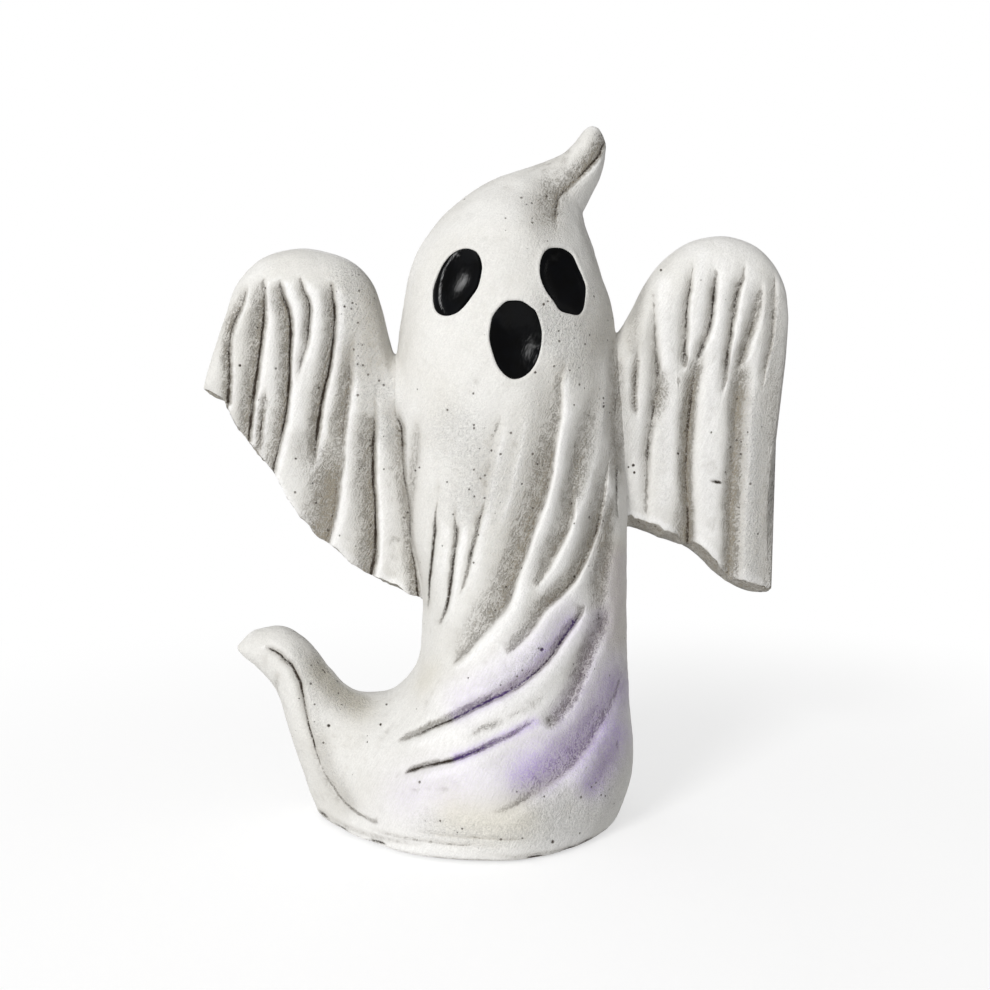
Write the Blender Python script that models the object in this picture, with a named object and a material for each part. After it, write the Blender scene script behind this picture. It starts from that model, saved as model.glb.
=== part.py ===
"""Resin ghost statue: a hollow cast body with two pinned sleeve castings, poured black face fillings,
a base plate with ballast, and felt pads. Metres, +Z up, front towards -Y, standing on Z = 0."""
import math

import bmesh
import bpy
import numpy as np
from mathutils import Matrix, Vector
from mathutils.bvhtree import BVHTree

# Overall sizes
STATUE_HEIGHT = 0.330
STATUE_WIDTH = 0.281
BODY_DEPTH = 0.148

# The viewpoint that the photograph's places are read from, and its downward tilt in degrees
VIEW_DISTANCE = 0.620
VIEW_TILT = 4.4

# Body casting
WALL = 0.0070
FOLD_DEPTH = 0.0060
PAD_THICKNESS = 0.0012

# Sleeve castings
ARM_THICKNESS = 0.042
ARM_ROUNDING = 0.027
HEM_THICKNESS = 0.014
LEFT_HEM_BEVEL = 0.0020
RIGHT_HEM_BEVEL = 0.0055
ARM_FOLD_DEPTH = 0.0052
BACK_FOLD_DEPTH = 0.0020
BACK_RIPPLES = 6
BOW_SHARE = 27 / 4

# How a sleeve's sheet is shaped: the power of its taper towards the hem, the least thickness share
# that sets its rounded top, the most of a rib that its bevel takes, how soon below the top the folds
# are full, and how much of a front fold shows at the back's hem
HEM_TAPER_POWER = 0.8
THIN_RIB_SHARE = 0.3
BEVEL_LIMIT_SHARE = 1 / 3
FOLD_RISE = 1.3
FOLD_THROUGH_SHARE = 0.6

# How folds end, as shares of their run, and how sharply the body's front folds pass into its back's
FOLD_FIRST_SHARE = 0.08
FOLD_LAST_SHARE = 0.92
FOLD_END_POWER = 0.5
SIDE_BLEND = 1.6

# Face fillings
FILLING_RECESS = 0.0008
FILLING_DISH = 0.0028
FILLING_THICKNESS = 0.0012

# Pins between the body and the arms
DOWEL_DIAMETER = 0.0040
DOWEL_LENGTH = 0.030
DOWEL_IN_ARM = 0.017

# Underside
PLATE_THICKNESS = 0.0040
BALLAST_HEIGHT = 0.022
BALLAST_CLEARANCE = 0.0015
PAD_DIAMETER = 0.020

# Joints between pieces, and how far a cutter runs past what it cuts
GAP = 0.0003
OVERRUN = 0.010

# Photograph coordinates, in pixels: the frame that the outlines below were read in
PHOTO_MIDDLE_PX = 495.5
PHOTO_FLOOR_PX = 812
PHOTO_TOP_PX = 126
PHOTO_LEFT_PX = 203
PHOTO_RIGHT_PX = 788

# Worked out: a pixel's size at the statue's middle, the viewpoint's height, and the casting's foot
PX_ACROSS = STATUE_WIDTH / (PHOTO_RIGHT_PX - PHOTO_LEFT_PX)
PX_UP = STATUE_HEIGHT / (PHOTO_FLOOR_PX - PHOTO_TOP_PX)
TILT_SIN = math.sin(math.radians(VIEW_TILT))
TILT_COS = math.cos(math.radians(VIEW_TILT))
FLOOR_SLOPE = (PHOTO_MIDDLE_PX - PHOTO_FLOOR_PX) * PX_UP / VIEW_DISTANCE
VIEW_HEIGHT = (VIEW_DISTANCE * (TILT_SIN - FLOOR_SLOPE * TILT_COS)
               / (TILT_COS + FLOOR_SLOPE * TILT_SIN))
BASE_Z = PAD_THICKNESS + GAP

# Body sections from the tail's tip, round the bend and up to the head's tip. Each row has the
# photograph's x and y of the section's inner and outer edge, and its share of the body's depth.
BODY_SECTION_SHARES = [
    (239, 645, 241, 651, 0.055),
    (243, 640, 247, 657, 0.085),
    (251, 631, 256, 664, 0.115),
    (262, 627, 264, 672, 0.14),
    (275, 625, 272, 681, 0.16),
    (288, 628, 279, 692, 0.18),
    (300, 636, 283, 704, 0.20),
    (310, 645, 287, 718, 0.22),
    (318, 655, 291, 734, 0.24),
    (326, 666, 297, 752, 0.26),
    (334, 675, 304, 772, 0.28),
    (342, 684, 312, 792, 0.30),
    (350, 690, 327, 824, 0.34),
    (359, 694, 341, 862, 0.41),
    (370, 696, 354, 897, 0.52),
    (381, 695, 380, 920, 0.65),
    (392, 691, 412, 930, 0.78),
    (401, 684, 452, 930, 0.88),
    (409, 675, 500, 920, 0.96),
    (415, 665, 553, 895, 1.00),
    (420, 652, 590, 858, 1.00),
    (422, 638, 617, 812, 0.92),
    (423, 620, 631, 772, 0.86),
    (423, 602, 633, 738, 0.80),
    (421, 582, 630, 700, 0.75),
    (417, 560, 628, 655, 0.70),
    (411, 538, 627, 612, 0.66),
    (405, 512, 627, 568, 0.63),
    (400, 480, 627, 522, 0.62),
    (396, 440, 626, 470, 0.62),
    (395, 400, 623, 418, 0.62),
    (398, 361, 619, 370, 0.61),
    (401, 325, 615, 330, 0.60),
    (404, 300, 611, 305, 0.58),
    (408, 276, 604, 284, 0.56),
    (414, 259, 599, 267, 0.53),
    (422, 245, 595, 255, 0.50),
    (432, 231, 591, 244, 0.465),
    (443, 218, 588, 236, 0.43),
    (456, 206, 586, 230, 0.39),
    (470, 195, 584, 224, 0.345),
    (485, 186, 583, 220, 0.305),
    (500, 178, 582, 217, 0.265),
    (515, 172, 582, 214, 0.235),
    (530, 167, 583, 211, 0.205),
    (545, 162, 585, 207, 0.18),
    (557, 158, 588, 201, 0.16),
    (566, 153, 592, 193, 0.15),
    (572, 147, 597, 184, 0.14),
    (577, 141, 601, 175, 0.13),
    (581, 135, 604, 166, 0.115),
    (586, 129, 606, 156, 0.095),
    (592, 126, 607, 146, 0.065),
    (598, 128, 605, 139, 0.035),
]
CAVITY_FIRST_ROW = 14
CAVITY_LAST_ROW = 38

# Sleeve ribs: the photograph's x and y of each rib's top and hem, its share of the thickness, and
# how many pixels it bows sideways
LEFT_ARM_RIB_SHARES = [
    (204, 387, 206, 391, 0.22, 0),
    (208, 372, 214, 398, 0.34, 0),
    (214, 354, 225, 403, 0.46, 0),
    (221, 334, 229, 412, 0.56, 0),
    (229, 310, 238, 430, 0.66, 0),
    (236, 289, 249, 441, 0.75, 0),
    (247, 273, 261, 458, 0.84, 0),
    (262, 260, 275, 473, 0.92, 0),
    (282, 252, 288, 498, 0.98, 0),
    (305, 249, 302, 519, 1.00, 0),
    (328, 253, 318, 534, 1.00, 0),
    (348, 260, 335, 549, 1.00, 0),
    (363, 271, 352, 565, 0.98, 0),
    (374, 286, 368, 574, 0.95, 0),
    (381, 306, 383, 583, 0.92, 0),
    (387, 331, 398, 590, 0.90, 0),
    (394, 354, 412, 596, 0.90, 0),
    (408, 362, 426, 601, 0.90, 0),
    (438, 366, 450, 604, 0.90, 0),
]
RIGHT_ARM_RIB_SHARES = [
    (580, 348, 590, 512, 0.90, 0),
    (606, 343, 610, 518, 0.90, 0),
    (620, 331, 622, 526, 0.90, 0),
    (633, 309, 634, 529, 0.92, 0),
    (644, 287, 648, 534, 0.95, 0),
    (657, 268, 662, 540, 0.98, 0),
    (673, 253, 676, 545, 1.00, -1),
    (690, 243, 690, 550, 1.00, -2),
    (708, 238, 703, 560, 1.00, -3),
    (726, 237, 716, 573, 0.98, -4),
    (743, 241, 730, 584, 0.92, -5),
    (757, 248, 743, 591, 0.84, -6),
    (768, 258, 755, 594, 0.74, -8),
    (777, 271, 763, 594, 0.62, -9),
    (784, 287, 768, 594, 0.48, -9),
    (787, 306, 771, 593, 0.34, -9),
    (788, 326, 772, 591, 0.16, -9),
]

# Folds: half width in pixels, share of the fold depth, and the photograph's places along the fold
FRONT_FOLD_SHARES = [
    (9, 0.40, [(436, 430), (437, 500), (434, 545), (429, 585), (425, 612)]),
    (8, 0.35, [(455, 480), (456, 535), (451, 580), (443, 618)]),
    (8, 0.30, [(486, 460), (479, 520), (469, 565), (456, 602)]),
    (14, 1.00, [(550, 355), (547, 425), (538, 475), (524, 522), (506, 568), (484, 608), (452, 657)]),
    (11, 0.75, [(592, 375), (584, 430), (571, 475), (556, 520), (537, 562)]),
    (10, 0.80, [(608, 465), (600, 515), (584, 558), (560, 592), (528, 627), (497, 660)]),
    (8, 0.60, [(621, 490), (612, 540), (605, 585), (592, 645)]),
    (11, 1.00, [(582, 604), (559, 642), (524, 679), (484, 703), (440, 725), (392, 741)]),
    (10, 0.75, [(552, 702), (520, 729), (480, 748), (430, 766), (393, 775)]),
    (9, 0.60, [(598, 600), (592, 640), (578, 690), (553, 724), (520, 746)]),
    (14, 0.75, [(629, 680), (601, 735), (560, 768), (518, 789), (470, 805)]),
    (8, 0.80, [(258, 643), (285, 662), (297, 690), (304, 725), (316, 762), (338, 796), (374, 824)]),
    (6, 0.55, [(606, 147), (590, 167), (565, 192), (555, 228)]),
]
BACK_FOLD_SHARES = [
    (12, 0.80, [(396, 400), (430, 480), (480, 560), (530, 640), (575, 715)]),
    (12, 0.90, [(421, 600), (465, 655), (525, 712), (590, 752)]),
    (11, 0.70, [(440, 370), (482, 450), (525, 530), (572, 610), (612, 690)]),
    (10, 0.60, [(520, 350), (555, 430), (590, 505), (622, 570)]),
    (12, 0.80, [(345, 700), (400, 735), (470, 768), (550, 790)]),
    (9, 0.60, [(270, 650), (292, 680), (306, 725), (328, 775), (370, 806)]),
]
LEFT_ARM_FOLD_SHARES = [
    (6, 0.60, [(240, 300), (230, 330), (224, 355), (226, 385), (228, 405)]),
    (7, 0.90, [(262, 285), (258, 325), (252, 370), (247, 415), (244, 440)]),
    (7, 0.90, [(284, 290), (286, 340), (284, 390), (277, 440), (268, 475)]),
    (6, 0.60, [(304, 285), (306, 315), (300, 360)]),
    (9, 1.00, [(334, 290), (331, 335), (322, 385), (313, 440), (307, 520)]),
    (9, 0.60, [(350, 345), (344, 395), (336, 450), (334, 545)]),
    (8, 0.80, [(374, 390), (370, 440), (368, 500), (366, 572)]),
    (7, 0.70, [(392, 400), (398, 460), (402, 520), (406, 592)]),
]
RIGHT_ARM_FOLD_SHARES = [
    (5, 0.40, [(636, 350), (633, 400), (634, 500)]),
    (7, 0.70, [(654, 300), (656, 360), (650, 430), (647, 525)]),
    (6, 0.40, [(691, 258), (687, 300), (684, 360)]),
    (9, 1.00, [(714, 268), (706, 315), (692, 365), (682, 410), (683, 470), (680, 545)]),
    (7, 0.60, [(743, 262), (735, 305), (727, 360), (716, 420)]),
    (9, 1.00, [(758, 288), (745, 335), (733, 385), (727, 440), (725, 570)]),
    (6, 0.50, [(776, 290), (770, 335), (762, 380), (756, 585)]),
]

# Face fillings: the photograph's centre, half width and half height in pixels, and lean in degrees
FACE_OPENINGS = {
    "left_eye": (458, 282, 22, 33, 14),
    "right_eye": (564, 281, 21, 33, -14),
    "mouth": (516, 340, 25, 38, 0),
}

# Pins: the photograph's x where the arm meets the body, and the pin's height there
DOWEL_PLACES = {
    "left_arm_dowel_upper": (398, 420, -1),
    "left_arm_dowel_lower": (404, 520, -1),
    "right_arm_dowel_upper": (620, 385, 1),
    "right_arm_dowel_lower": (624, 480, 1),
}

# Felt pads: their places as shares of the base's half width and half depth
BASE_LEFT_PX = 322
BASE_RIGHT_PX = 620
PAD_PLACE_SHARES = [(-0.46, -0.44), (0.46, -0.44), (0.46, 0.44), (-0.46, 0.44)]

# Mesh counts of the fine forms, the share of their faces that is kept, the crowding of a sleeve's
# steps towards its top, and the angle in degrees above which an edge is drawn sharp
CURVE_STEPS = 16
STEP_CROWDING = 1.5
SHARP_ANGLE = 40
BODY_RINGS = 230
BODY_SIDES = 180
BODY_KEEP_SHARE = 0.088
CAVITY_RINGS = 20
CAVITY_SIDES = 22
ARM_RIBS = 110
ARM_STEPS = 56
ARM_KEEP_SHARE = 0.075
FILLING_SIDES = 28
FILLING_CIRCLES = 3
DOWEL_SIDES = 20
PAD_SIDES = 32

# Each piece's colour, roughness and metallic value
RESIN = ((0.80, 0.77, 0.71), 0.62, 0.0)
BLACK_GLOSS = ((0.012, 0.012, 0.014), 0.18, 0.0)
STEEL = ((0.56, 0.57, 0.58), 0.30, 1.0)
BOARD = ((0.33, 0.24, 0.16), 0.80, 0.0)
PLASTER = ((0.74, 0.73, 0.70), 0.85, 0.0)
FELT = ((0.10, 0.10, 0.11), 0.95, 0.0)


def clear_scene():
    for item in list(bpy.data.objects):
        bpy.data.objects.remove(item, do_unlink=True)


def finish_piece(piece, surface, smooth=True):
    """Give a piece its own material, and shade round forms smooth."""
    colour, roughness, metallic = surface
    material = bpy.data.materials.new(piece.name + "_finish")
    material.use_nodes = True
    shader = material.node_tree.nodes["Principled BSDF"]
    shader.inputs["Base Color"].default_value = (*colour, 1)
    shader.inputs["Roughness"].default_value = roughness
    shader.inputs["Metallic"].default_value = metallic
    piece.data.materials.clear()
    piece.data.materials.append(material)
    if smooth:
        piece.data.shade_smooth()
        piece.data.set_sharp_from_angle(angle=math.radians(SHARP_ANGLE))
    return piece


def add_piece(name, bm):
    bmesh.ops.recalc_face_normals(bm, faces=bm.faces)
    mesh = bpy.data.meshes.new(name)
    bm.to_mesh(mesh)
    bm.free()
    piece = bpy.data.objects.new(name, mesh)
    bpy.context.scene.collection.objects.link(piece)
    return piece


def make_cutter(piece):
    piece.hide_render = True
    piece.display_type = "WIRE"
    return piece


def cut(piece, cutter, operation="DIFFERENCE"):
    step = piece.modifiers.new(operation.lower() + "_" + cutter.name, "BOOLEAN")
    step.operation = operation
    step.object = make_cutter(cutter)


def on_centre_plane(x_px, y_px):
    """Across and up of the centre plane's point that the photograph shows at a pixel."""
    slope = (PHOTO_MIDDLE_PX - np.asarray(y_px, dtype=float)) * PX_UP / VIEW_DISTANCE
    nearer = 1 / (TILT_COS + slope * TILT_SIN)
    across = (np.asarray(x_px, dtype=float) - PHOTO_MIDDLE_PX) * PX_ACROSS * nearer
    up = VIEW_HEIGHT + VIEW_DISTANCE * (slope * TILT_COS - TILT_SIN) * nearer
    return across, up


def at_pixel(x_px, y_px):
    across, up = on_centre_plane(x_px, y_px)
    return float(across), 0.0, float(up)


def in_photo(points):
    """The photograph's pixel for each point, as seen from the viewpoint."""
    away = points[..., 1] + VIEW_DISTANCE
    above = points[..., 2] - VIEW_HEIGHT
    ahead = away * TILT_COS - above * TILT_SIN
    across = points[..., 0] / ahead * VIEW_DISTANCE
    up = (away * TILT_SIN + above * TILT_COS) / ahead * VIEW_DISTANCE
    return np.stack((PHOTO_MIDDLE_PX + across / PX_ACROSS, PHOTO_MIDDLE_PX - up / PX_UP), axis=-1)


def smooth_rows(rows, count):
    """Rows of hand-chosen values, on a Catmull-Rom curve and evenly spaced along the form."""
    rows = np.array(rows, dtype=float)
    padded = np.vstack((2 * rows[0] - rows[1], rows, 2 * rows[-1] - rows[-2]))
    fine = []
    for index in range(1, len(padded) - 2):
        before, start, end, after = padded[index - 1:index + 3]
        for t in np.linspace(0, 1, CURVE_STEPS, endpoint=False):
            bend = 2 * before - 5 * start + 4 * end - after
            twist = 3 * start - before - 3 * end + after
            fine.append(start + t * (end - before + t * (bend + t * twist)) / 2)
    fine = np.array(fine + [rows[-1]])
    steps = np.linalg.norm(np.diff(fine[:, :4], axis=0), axis=1)
    along = np.concatenate(((0,), np.cumsum(steps)))
    even = np.linspace(0, along[-1], count)
    return np.stack([np.interp(even, along, column) for column in fine.T], axis=1)


def grid_normals(grid):
    """Outward normals of a closed loft, whose rings run along axis 0."""
    along = np.gradient(grid, axis=0)
    around = np.roll(grid, -1, axis=1) - np.roll(grid, 1, axis=1)
    normal = np.cross(along, around)
    normal /= np.maximum(np.linalg.norm(normal, axis=-1, keepdims=True), 1e-12)
    outward = grid - grid.mean(axis=1, keepdims=True)
    if (normal * outward).sum() < 0:
        normal = -normal
    return normal


def fold_reach(pixels, folds):
    """How deep the folds are at each pixel, in shares of the fold depth."""
    deepest = np.zeros(pixels.shape[:-1])
    for half_width, share, places in folds:
        places = np.array(places, dtype=float)
        spans = len(places) - 1
        best = np.full(deepest.shape, np.inf)
        fade = np.zeros(deepest.shape)
        for index in range(spans):
            start, run = places[index], places[index + 1] - places[index]
            t = np.clip(((pixels - start) @ run) / (run @ run), 0, 1)
            away = np.linalg.norm(pixels - start - t[..., None] * run, axis=-1)
            closer = away < best
            best = np.where(closer, away, best)
            place = np.clip((index + t) / spans, FOLD_FIRST_SHARE, FOLD_LAST_SHARE)
            fade = np.where(closer, np.sin(math.pi * place) ** FOLD_END_POWER, fade)
        deepest = np.maximum(deepest, share * fade * np.exp(-(best / half_width) ** 2))
    return deepest


def bridge_rings(bm, grid):
    """Faces between closed rings of points, with a cap on each end."""
    rings = [[bm.verts.new(point) for point in ring] for ring in grid]
    sides = len(rings[0])
    for ring, following in zip(rings, rings[1:]):
        for index in range(sides):
            step = (index + 1) % sides
            bm.faces.new((ring[index], ring[step], following[step]))
            bm.faces.new((ring[index], following[step], following[index]))
    for end in (rings[0], rings[-1]):
        middle = bm.verts.new(sum((vert.co for vert in end), Vector()) / sides)
        for index in range(sides):
            bm.faces.new((end[index], end[(index + 1) % sides], middle))


def body_grid(inset, rows, rings, sides):
    """Rings of the body's form, taken in by an inset, without its folds."""
    table = smooth_rows(rows, rings)
    inner_x, inner_z = on_centre_plane(table[:, 0], table[:, 1])
    outer_x, outer_z = on_centre_plane(table[:, 2], table[:, 3])
    centre = np.stack(((inner_x + outer_x) / 2, np.zeros(rings), (inner_z + outer_z) / 2), axis=1)
    reach = np.stack(((outer_x - inner_x) / 2, np.zeros(rings), (outer_z - inner_z) / 2), axis=1)
    length = np.linalg.norm(reach, axis=1)
    half_width = length - inset
    half_depth = table[:, 4] * BODY_DEPTH / 2 - inset
    angle = np.linspace(0, math.tau, sides, endpoint=False)
    across = (reach / length[:, None])[:, None, :] * (half_width[:, None] * np.cos(angle))[..., None]
    depth = -(half_depth[:, None] * np.sin(angle))[..., None] * np.array((0, 1, 0))
    return centre[:, None, :] + across + depth


def keep_share(name, bm, share):
    """A piece from a fine mesh, with only the faces that its shape needs."""
    fine = add_piece(name + "_fine", bm)
    step = fine.modifiers.new("fewer_faces", "DECIMATE")
    step.ratio = share
    bpy.context.view_layer.update()
    mesh = bpy.data.meshes.new_from_object(fine.evaluated_get(bpy.context.evaluated_depsgraph_get()))
    bpy.data.objects.remove(fine, do_unlink=True)
    piece = bpy.data.objects.new(name, mesh)
    bpy.context.scene.collection.objects.link(piece)
    return piece


def add_body_form(name):
    """The body's outer form with its folds, down to just below its foot."""
    grid = body_grid(0, BODY_SECTION_SHARES, BODY_RINGS, BODY_SIDES)
    normal = grid_normals(grid)
    front = np.clip(1 / 2 - SIDE_BLEND * normal[..., 1], 0, 1)
    front = front * front * (3 - 2 * front)
    front_folds = fold_reach(in_photo(grid), FRONT_FOLD_SHARES)
    back_folds = fold_reach(in_photo(grid * np.array((1, 0, 1))), BACK_FOLD_SHARES)
    depth = FOLD_DEPTH * (front * front_folds + (1 - front) * back_folds)
    bm = bmesh.new()
    bridge_rings(bm, grid - normal * depth[..., None])
    cut_loop = bmesh.ops.bisect_plane(bm, geom=bm.verts[:] + bm.edges[:] + bm.faces[:],
                                      plane_co=Vector((0, 0, -OVERRUN)), plane_no=Vector((0, 0, -1)),
                                      clear_outer=True)["geom_cut"]
    rim = [item for item in cut_loop if isinstance(item, bmesh.types.BMEdge)]
    bmesh.ops.triangle_fill(bm, edges=rim)
    return keep_share(name, bm, BODY_KEEP_SHARE)


def add_grown_copy(name, piece, growth):
    """A copy of a piece whose surface lies a little further out all round."""
    mesh = piece.data.copy()
    outward = [vert.normal.copy() for vert in mesh.vertices]
    for vert, normal in zip(mesh.vertices, outward):
        vert.co += normal * growth
    grown = bpy.data.objects.new(name, mesh)
    bpy.context.scene.collection.objects.link(grown)
    return grown


def add_core(name, inset):
    """The body's form taken in evenly, for the hollow and what fits in it."""
    rows = BODY_SECTION_SHARES[CAVITY_FIRST_ROW:CAVITY_LAST_ROW]
    grid = body_grid(inset, rows, CAVITY_RINGS, CAVITY_SIDES)
    inward = grid[1] - grid[0]
    grid[0] += inward / np.linalg.norm(inward, axis=1, keepdims=True) * (inset - WALL)
    bm = bmesh.new()
    bridge_rings(bm, grid)
    return add_piece(name, bm)


def add_slab(name, bottom, top):
    """A block between two heights, wider than the statue."""
    bm = bmesh.new()
    bmesh.ops.create_cube(bm, size=1)
    size = Vector((STATUE_WIDTH + 2 * OVERRUN, BODY_DEPTH + 2 * OVERRUN, top - bottom))
    bmesh.ops.scale(bm, vec=size, verts=bm.verts)
    bmesh.ops.translate(bm, vec=Vector((0, 0, (top + bottom) / 2)), verts=bm.verts)
    return add_piece(name, bm)


def add_arm_form(name, rib_shares, fold_shares, bevel):
    """A sleeve: ribs from its rounded top to its bevelled hem, joined side by side."""
    table = smooth_rows(rib_shares, ARM_RIBS)
    top_x, top_z = on_centre_plane(table[:, 0], table[:, 1])
    hem_x, hem_z = on_centre_plane(table[:, 2], table[:, 3])
    share = table[:, 4][:, None]
    length = np.hypot(hem_x - top_x, hem_z - top_z)[:, None]
    down = np.linspace(0, 1, ARM_STEPS + 1)[None, :] ** STEP_CROWDING
    rounding = np.minimum(ARM_ROUNDING * np.maximum(share, THIN_RIB_SHARE), length)
    to_full = np.clip(down * length / rounding, 0, 1)
    fullness = share * np.sqrt(1 - (1 - to_full) ** 2)
    half = fullness * (ARM_THICKNESS + (HEM_THICKNESS - ARM_THICKNESS) * down ** HEM_TAPER_POWER) / 2
    front_down = down * (1 - np.minimum(bevel / length, BEVEL_LIMIT_SHARE))

    def sheet(descent, depth):
        bow = table[:, 5][:, None] * PX_ACROSS * BOW_SHARE * descent ** 2 * (1 - descent)
        across = top_x[:, None] + (hem_x - top_x)[:, None] * descent + bow
        up = top_z[:, None] + (hem_z - top_z)[:, None] * descent
        return np.stack((across, depth, up), axis=-1)

    folds = fold_reach(in_photo(sheet(front_down, -half)), fold_shares)
    folds = ARM_FOLD_DEPTH * folds * np.minimum(1, FOLD_RISE * fullness)
    around = np.linspace(0, math.tau * BACK_RIPPLES, ARM_RIBS)[:, None]
    ripple = BACK_FOLD_DEPTH * np.sin(around) * fullness
    front = sheet(front_down, folds - half)
    back = sheet(down, half + ripple + FOLD_THROUGH_SHARE * folds * down)
    rings = np.concatenate((front[:, 1:], back[:, ::-1]), axis=1)
    bm = bmesh.new()
    bridge_rings(bm, rings)
    return keep_share(name, bm, ARM_KEEP_SHARE)


def surface_tree(piece):
    bpy.context.view_layer.update()
    return BVHTree.FromObject(piece, bpy.context.evaluated_depsgraph_get())


def add_face_disc(name, tree, opening, edge, floor_profile, top_profile):
    """An oval disc laid on the face: each point is found along the layout eye's line of sight."""
    centre_x, centre_y, half_x, half_y, lean = opening
    eye = Vector((0, -VIEW_DISTANCE, VIEW_HEIGHT))
    turn = Matrix.Rotation(math.radians(lean), 2)
    growth = edge / PX_ACROSS
    inward = -hit_face(tree, eye, centre_x, centre_y)[1]
    rings_top = []
    rings_floor = []
    for circle in range(FILLING_CIRCLES, -1, -1):
        share = circle / FILLING_CIRCLES
        top_ring = []
        floor_ring = []
        for side in range(FILLING_SIDES if circle else 1):
            angle = math.tau * side / FILLING_SIDES
            x = (half_x + growth) * share * math.cos(angle)
            y = (half_y + growth) * share * math.sin(angle)
            place = turn @ Vector((x, y))
            spot = hit_face(tree, eye, centre_x + place.x, centre_y + place.y)[0]
            top_ring.append(spot + inward * top_profile(share))
            floor_ring.append(spot + inward * floor_profile(share))
        rings_top.append(top_ring)
        rings_floor.append(floor_ring)
    bm = bmesh.new()
    chain = rings_top[:-1][::-1] + rings_floor[:-1]
    rows = [[bm.verts.new(point) for point in ring] for ring in chain]
    for ring, following in zip(rows, rows[1:]):
        for index in range(FILLING_SIDES):
            step = (index + 1) % FILLING_SIDES
            bm.faces.new((ring[index], ring[step], following[step], following[index]))
    for ring, middle in ((rows[0], rings_top[-1][0]), (rows[-1], rings_floor[-1][0])):
        hub = bm.verts.new(middle)
        for index in range(FILLING_SIDES):
            bm.faces.new((ring[index], ring[(index + 1) % FILLING_SIDES], hub))
    return add_piece(name, bm)


def hit_face(tree, eye, x_px, y_px):
    """Where the line of sight through a pixel meets the casting, and the surface normal there."""
    line = Vector(at_pixel(x_px, y_px)) - eye
    spot, normal, _, _ = tree.ray_cast(eye, line.normalized())
    return spot, normal


def add_face_filling(name, tree, opening, shell):
    """A poured black filling with a dished front, and its pocket in the shell."""
    def dish(share):
        return FILLING_RECESS + FILLING_DISH * (1 - share ** 2)

    def underside(share):
        return dish(share) + FILLING_THICKNESS

    def pocket(share):
        return underside(share) + GAP

    def outside(share):
        return -OVERRUN

    filling = add_face_disc(name, tree, opening, 0, underside, dish)
    cut(shell, add_face_disc(name + "_pocket", tree, opening, GAP, pocket, outside))
    return finish_piece(filling, BLACK_GLOSS)


def add_rod(name, place, radius, start, end):
    """A round bar along X at a place, between two x values."""
    bm = bmesh.new()
    bmesh.ops.create_cone(bm, cap_ends=True, segments=DOWEL_SIDES, radius1=radius, radius2=radius,
                          depth=abs(end - start))
    bmesh.ops.rotate(bm, cent=Vector(), matrix=Matrix.Rotation(math.pi / 2, 3, "Y"), verts=bm.verts)
    centre = Vector(((start + end) / 2, place[1], place[2]))
    bmesh.ops.translate(bm, vec=centre, verts=bm.verts)
    return add_piece(name, bm)


def add_dowel(name, spec, shell, arm):
    """A steel pin through the body's wall into an arm, with a drilled hole in both."""
    x_px, y_px, outward = spec
    place = at_pixel(x_px, y_px)
    tip = place[0] + outward * DOWEL_IN_ARM
    tail = tip - outward * DOWEL_LENGTH
    dowel = add_rod(name, place, DOWEL_DIAMETER / 2, tail, tip)
    hole = add_rod(name + "_hole", place, DOWEL_DIAMETER / 2 + GAP, tail - outward * OVERRUN,
                   tip + outward * GAP)
    cut(shell, hole)
    cut(arm, hole)
    return finish_piece(dowel, STEEL)


def add_pad(name, place_share, plate_middle, half_width, half_depth):
    bm = bmesh.new()
    bmesh.ops.create_cone(bm, cap_ends=True, segments=PAD_SIDES, radius1=PAD_DIAMETER / 2,
                          radius2=PAD_DIAMETER / 2, depth=PAD_THICKNESS)
    place = Vector((plate_middle + place_share[0] * half_width, place_share[1] * half_depth,
                    PAD_THICKNESS / 2))
    bmesh.ops.translate(bm, vec=place, verts=bm.verts)
    return finish_piece(add_piece(name, bm), FELT)


def hollow_shell(shell):
    cut(shell, add_slab("under_base", -STATUE_HEIGHT, BASE_Z))
    cut(shell, add_core("hollow", WALL))


def build_arms(shell, grown_body):
    arms = {}
    for name, ribs, folds, bevel in (
            ("left_arm", LEFT_ARM_RIB_SHARES, LEFT_ARM_FOLD_SHARES, LEFT_HEM_BEVEL),
            ("right_arm", RIGHT_ARM_RIB_SHARES, RIGHT_ARM_FOLD_SHARES, RIGHT_HEM_BEVEL)):
        arm = add_arm_form(name, ribs, folds, bevel)
        cut(arm, grown_body)
        arms[name] = arm
    for name, spec in DOWEL_PLACES.items():
        add_dowel(name, spec, shell, arms["left_arm" if spec[2] < 0 else "right_arm"])
    return arms


def build_underside():
    plate_top = BASE_Z + PLATE_THICKNESS
    plate = add_core("base_plate", WALL + GAP)
    cut(plate, add_slab("plate_band", BASE_Z, plate_top), "INTERSECT")
    finish_piece(plate, BOARD)
    ballast = add_core("ballast", WALL + BALLAST_CLEARANCE)
    ballast_bottom = plate_top + GAP
    cut(ballast, add_slab("ballast_band", ballast_bottom, ballast_bottom + BALLAST_HEIGHT), "INTERSECT")
    finish_piece(ballast, PLASTER)
    left, _ = on_centre_plane(BASE_LEFT_PX, PHOTO_FLOOR_PX)
    right, _ = on_centre_plane(BASE_RIGHT_PX, PHOTO_FLOOR_PX)
    for number, share in enumerate(PAD_PLACE_SHARES, 1):
        add_pad(f"felt_pad_{number}", share, float(left + right) / 2, float(right - left) / 2,
                BODY_DEPTH / 2)


def main():
    clear_scene()
    shell = add_body_form("body_shell")
    tree = surface_tree(shell)
    grown_body = add_grown_copy("grown_body", shell, GAP)
    hollow_shell(shell)
    arms = build_arms(shell, grown_body)
    for name, opening in FACE_OPENINGS.items():
        add_face_filling(name, tree, opening, shell)
    build_underside()
    for piece in (shell, *arms.values()):
        finish_piece(piece, RESIN)


main()
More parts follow.
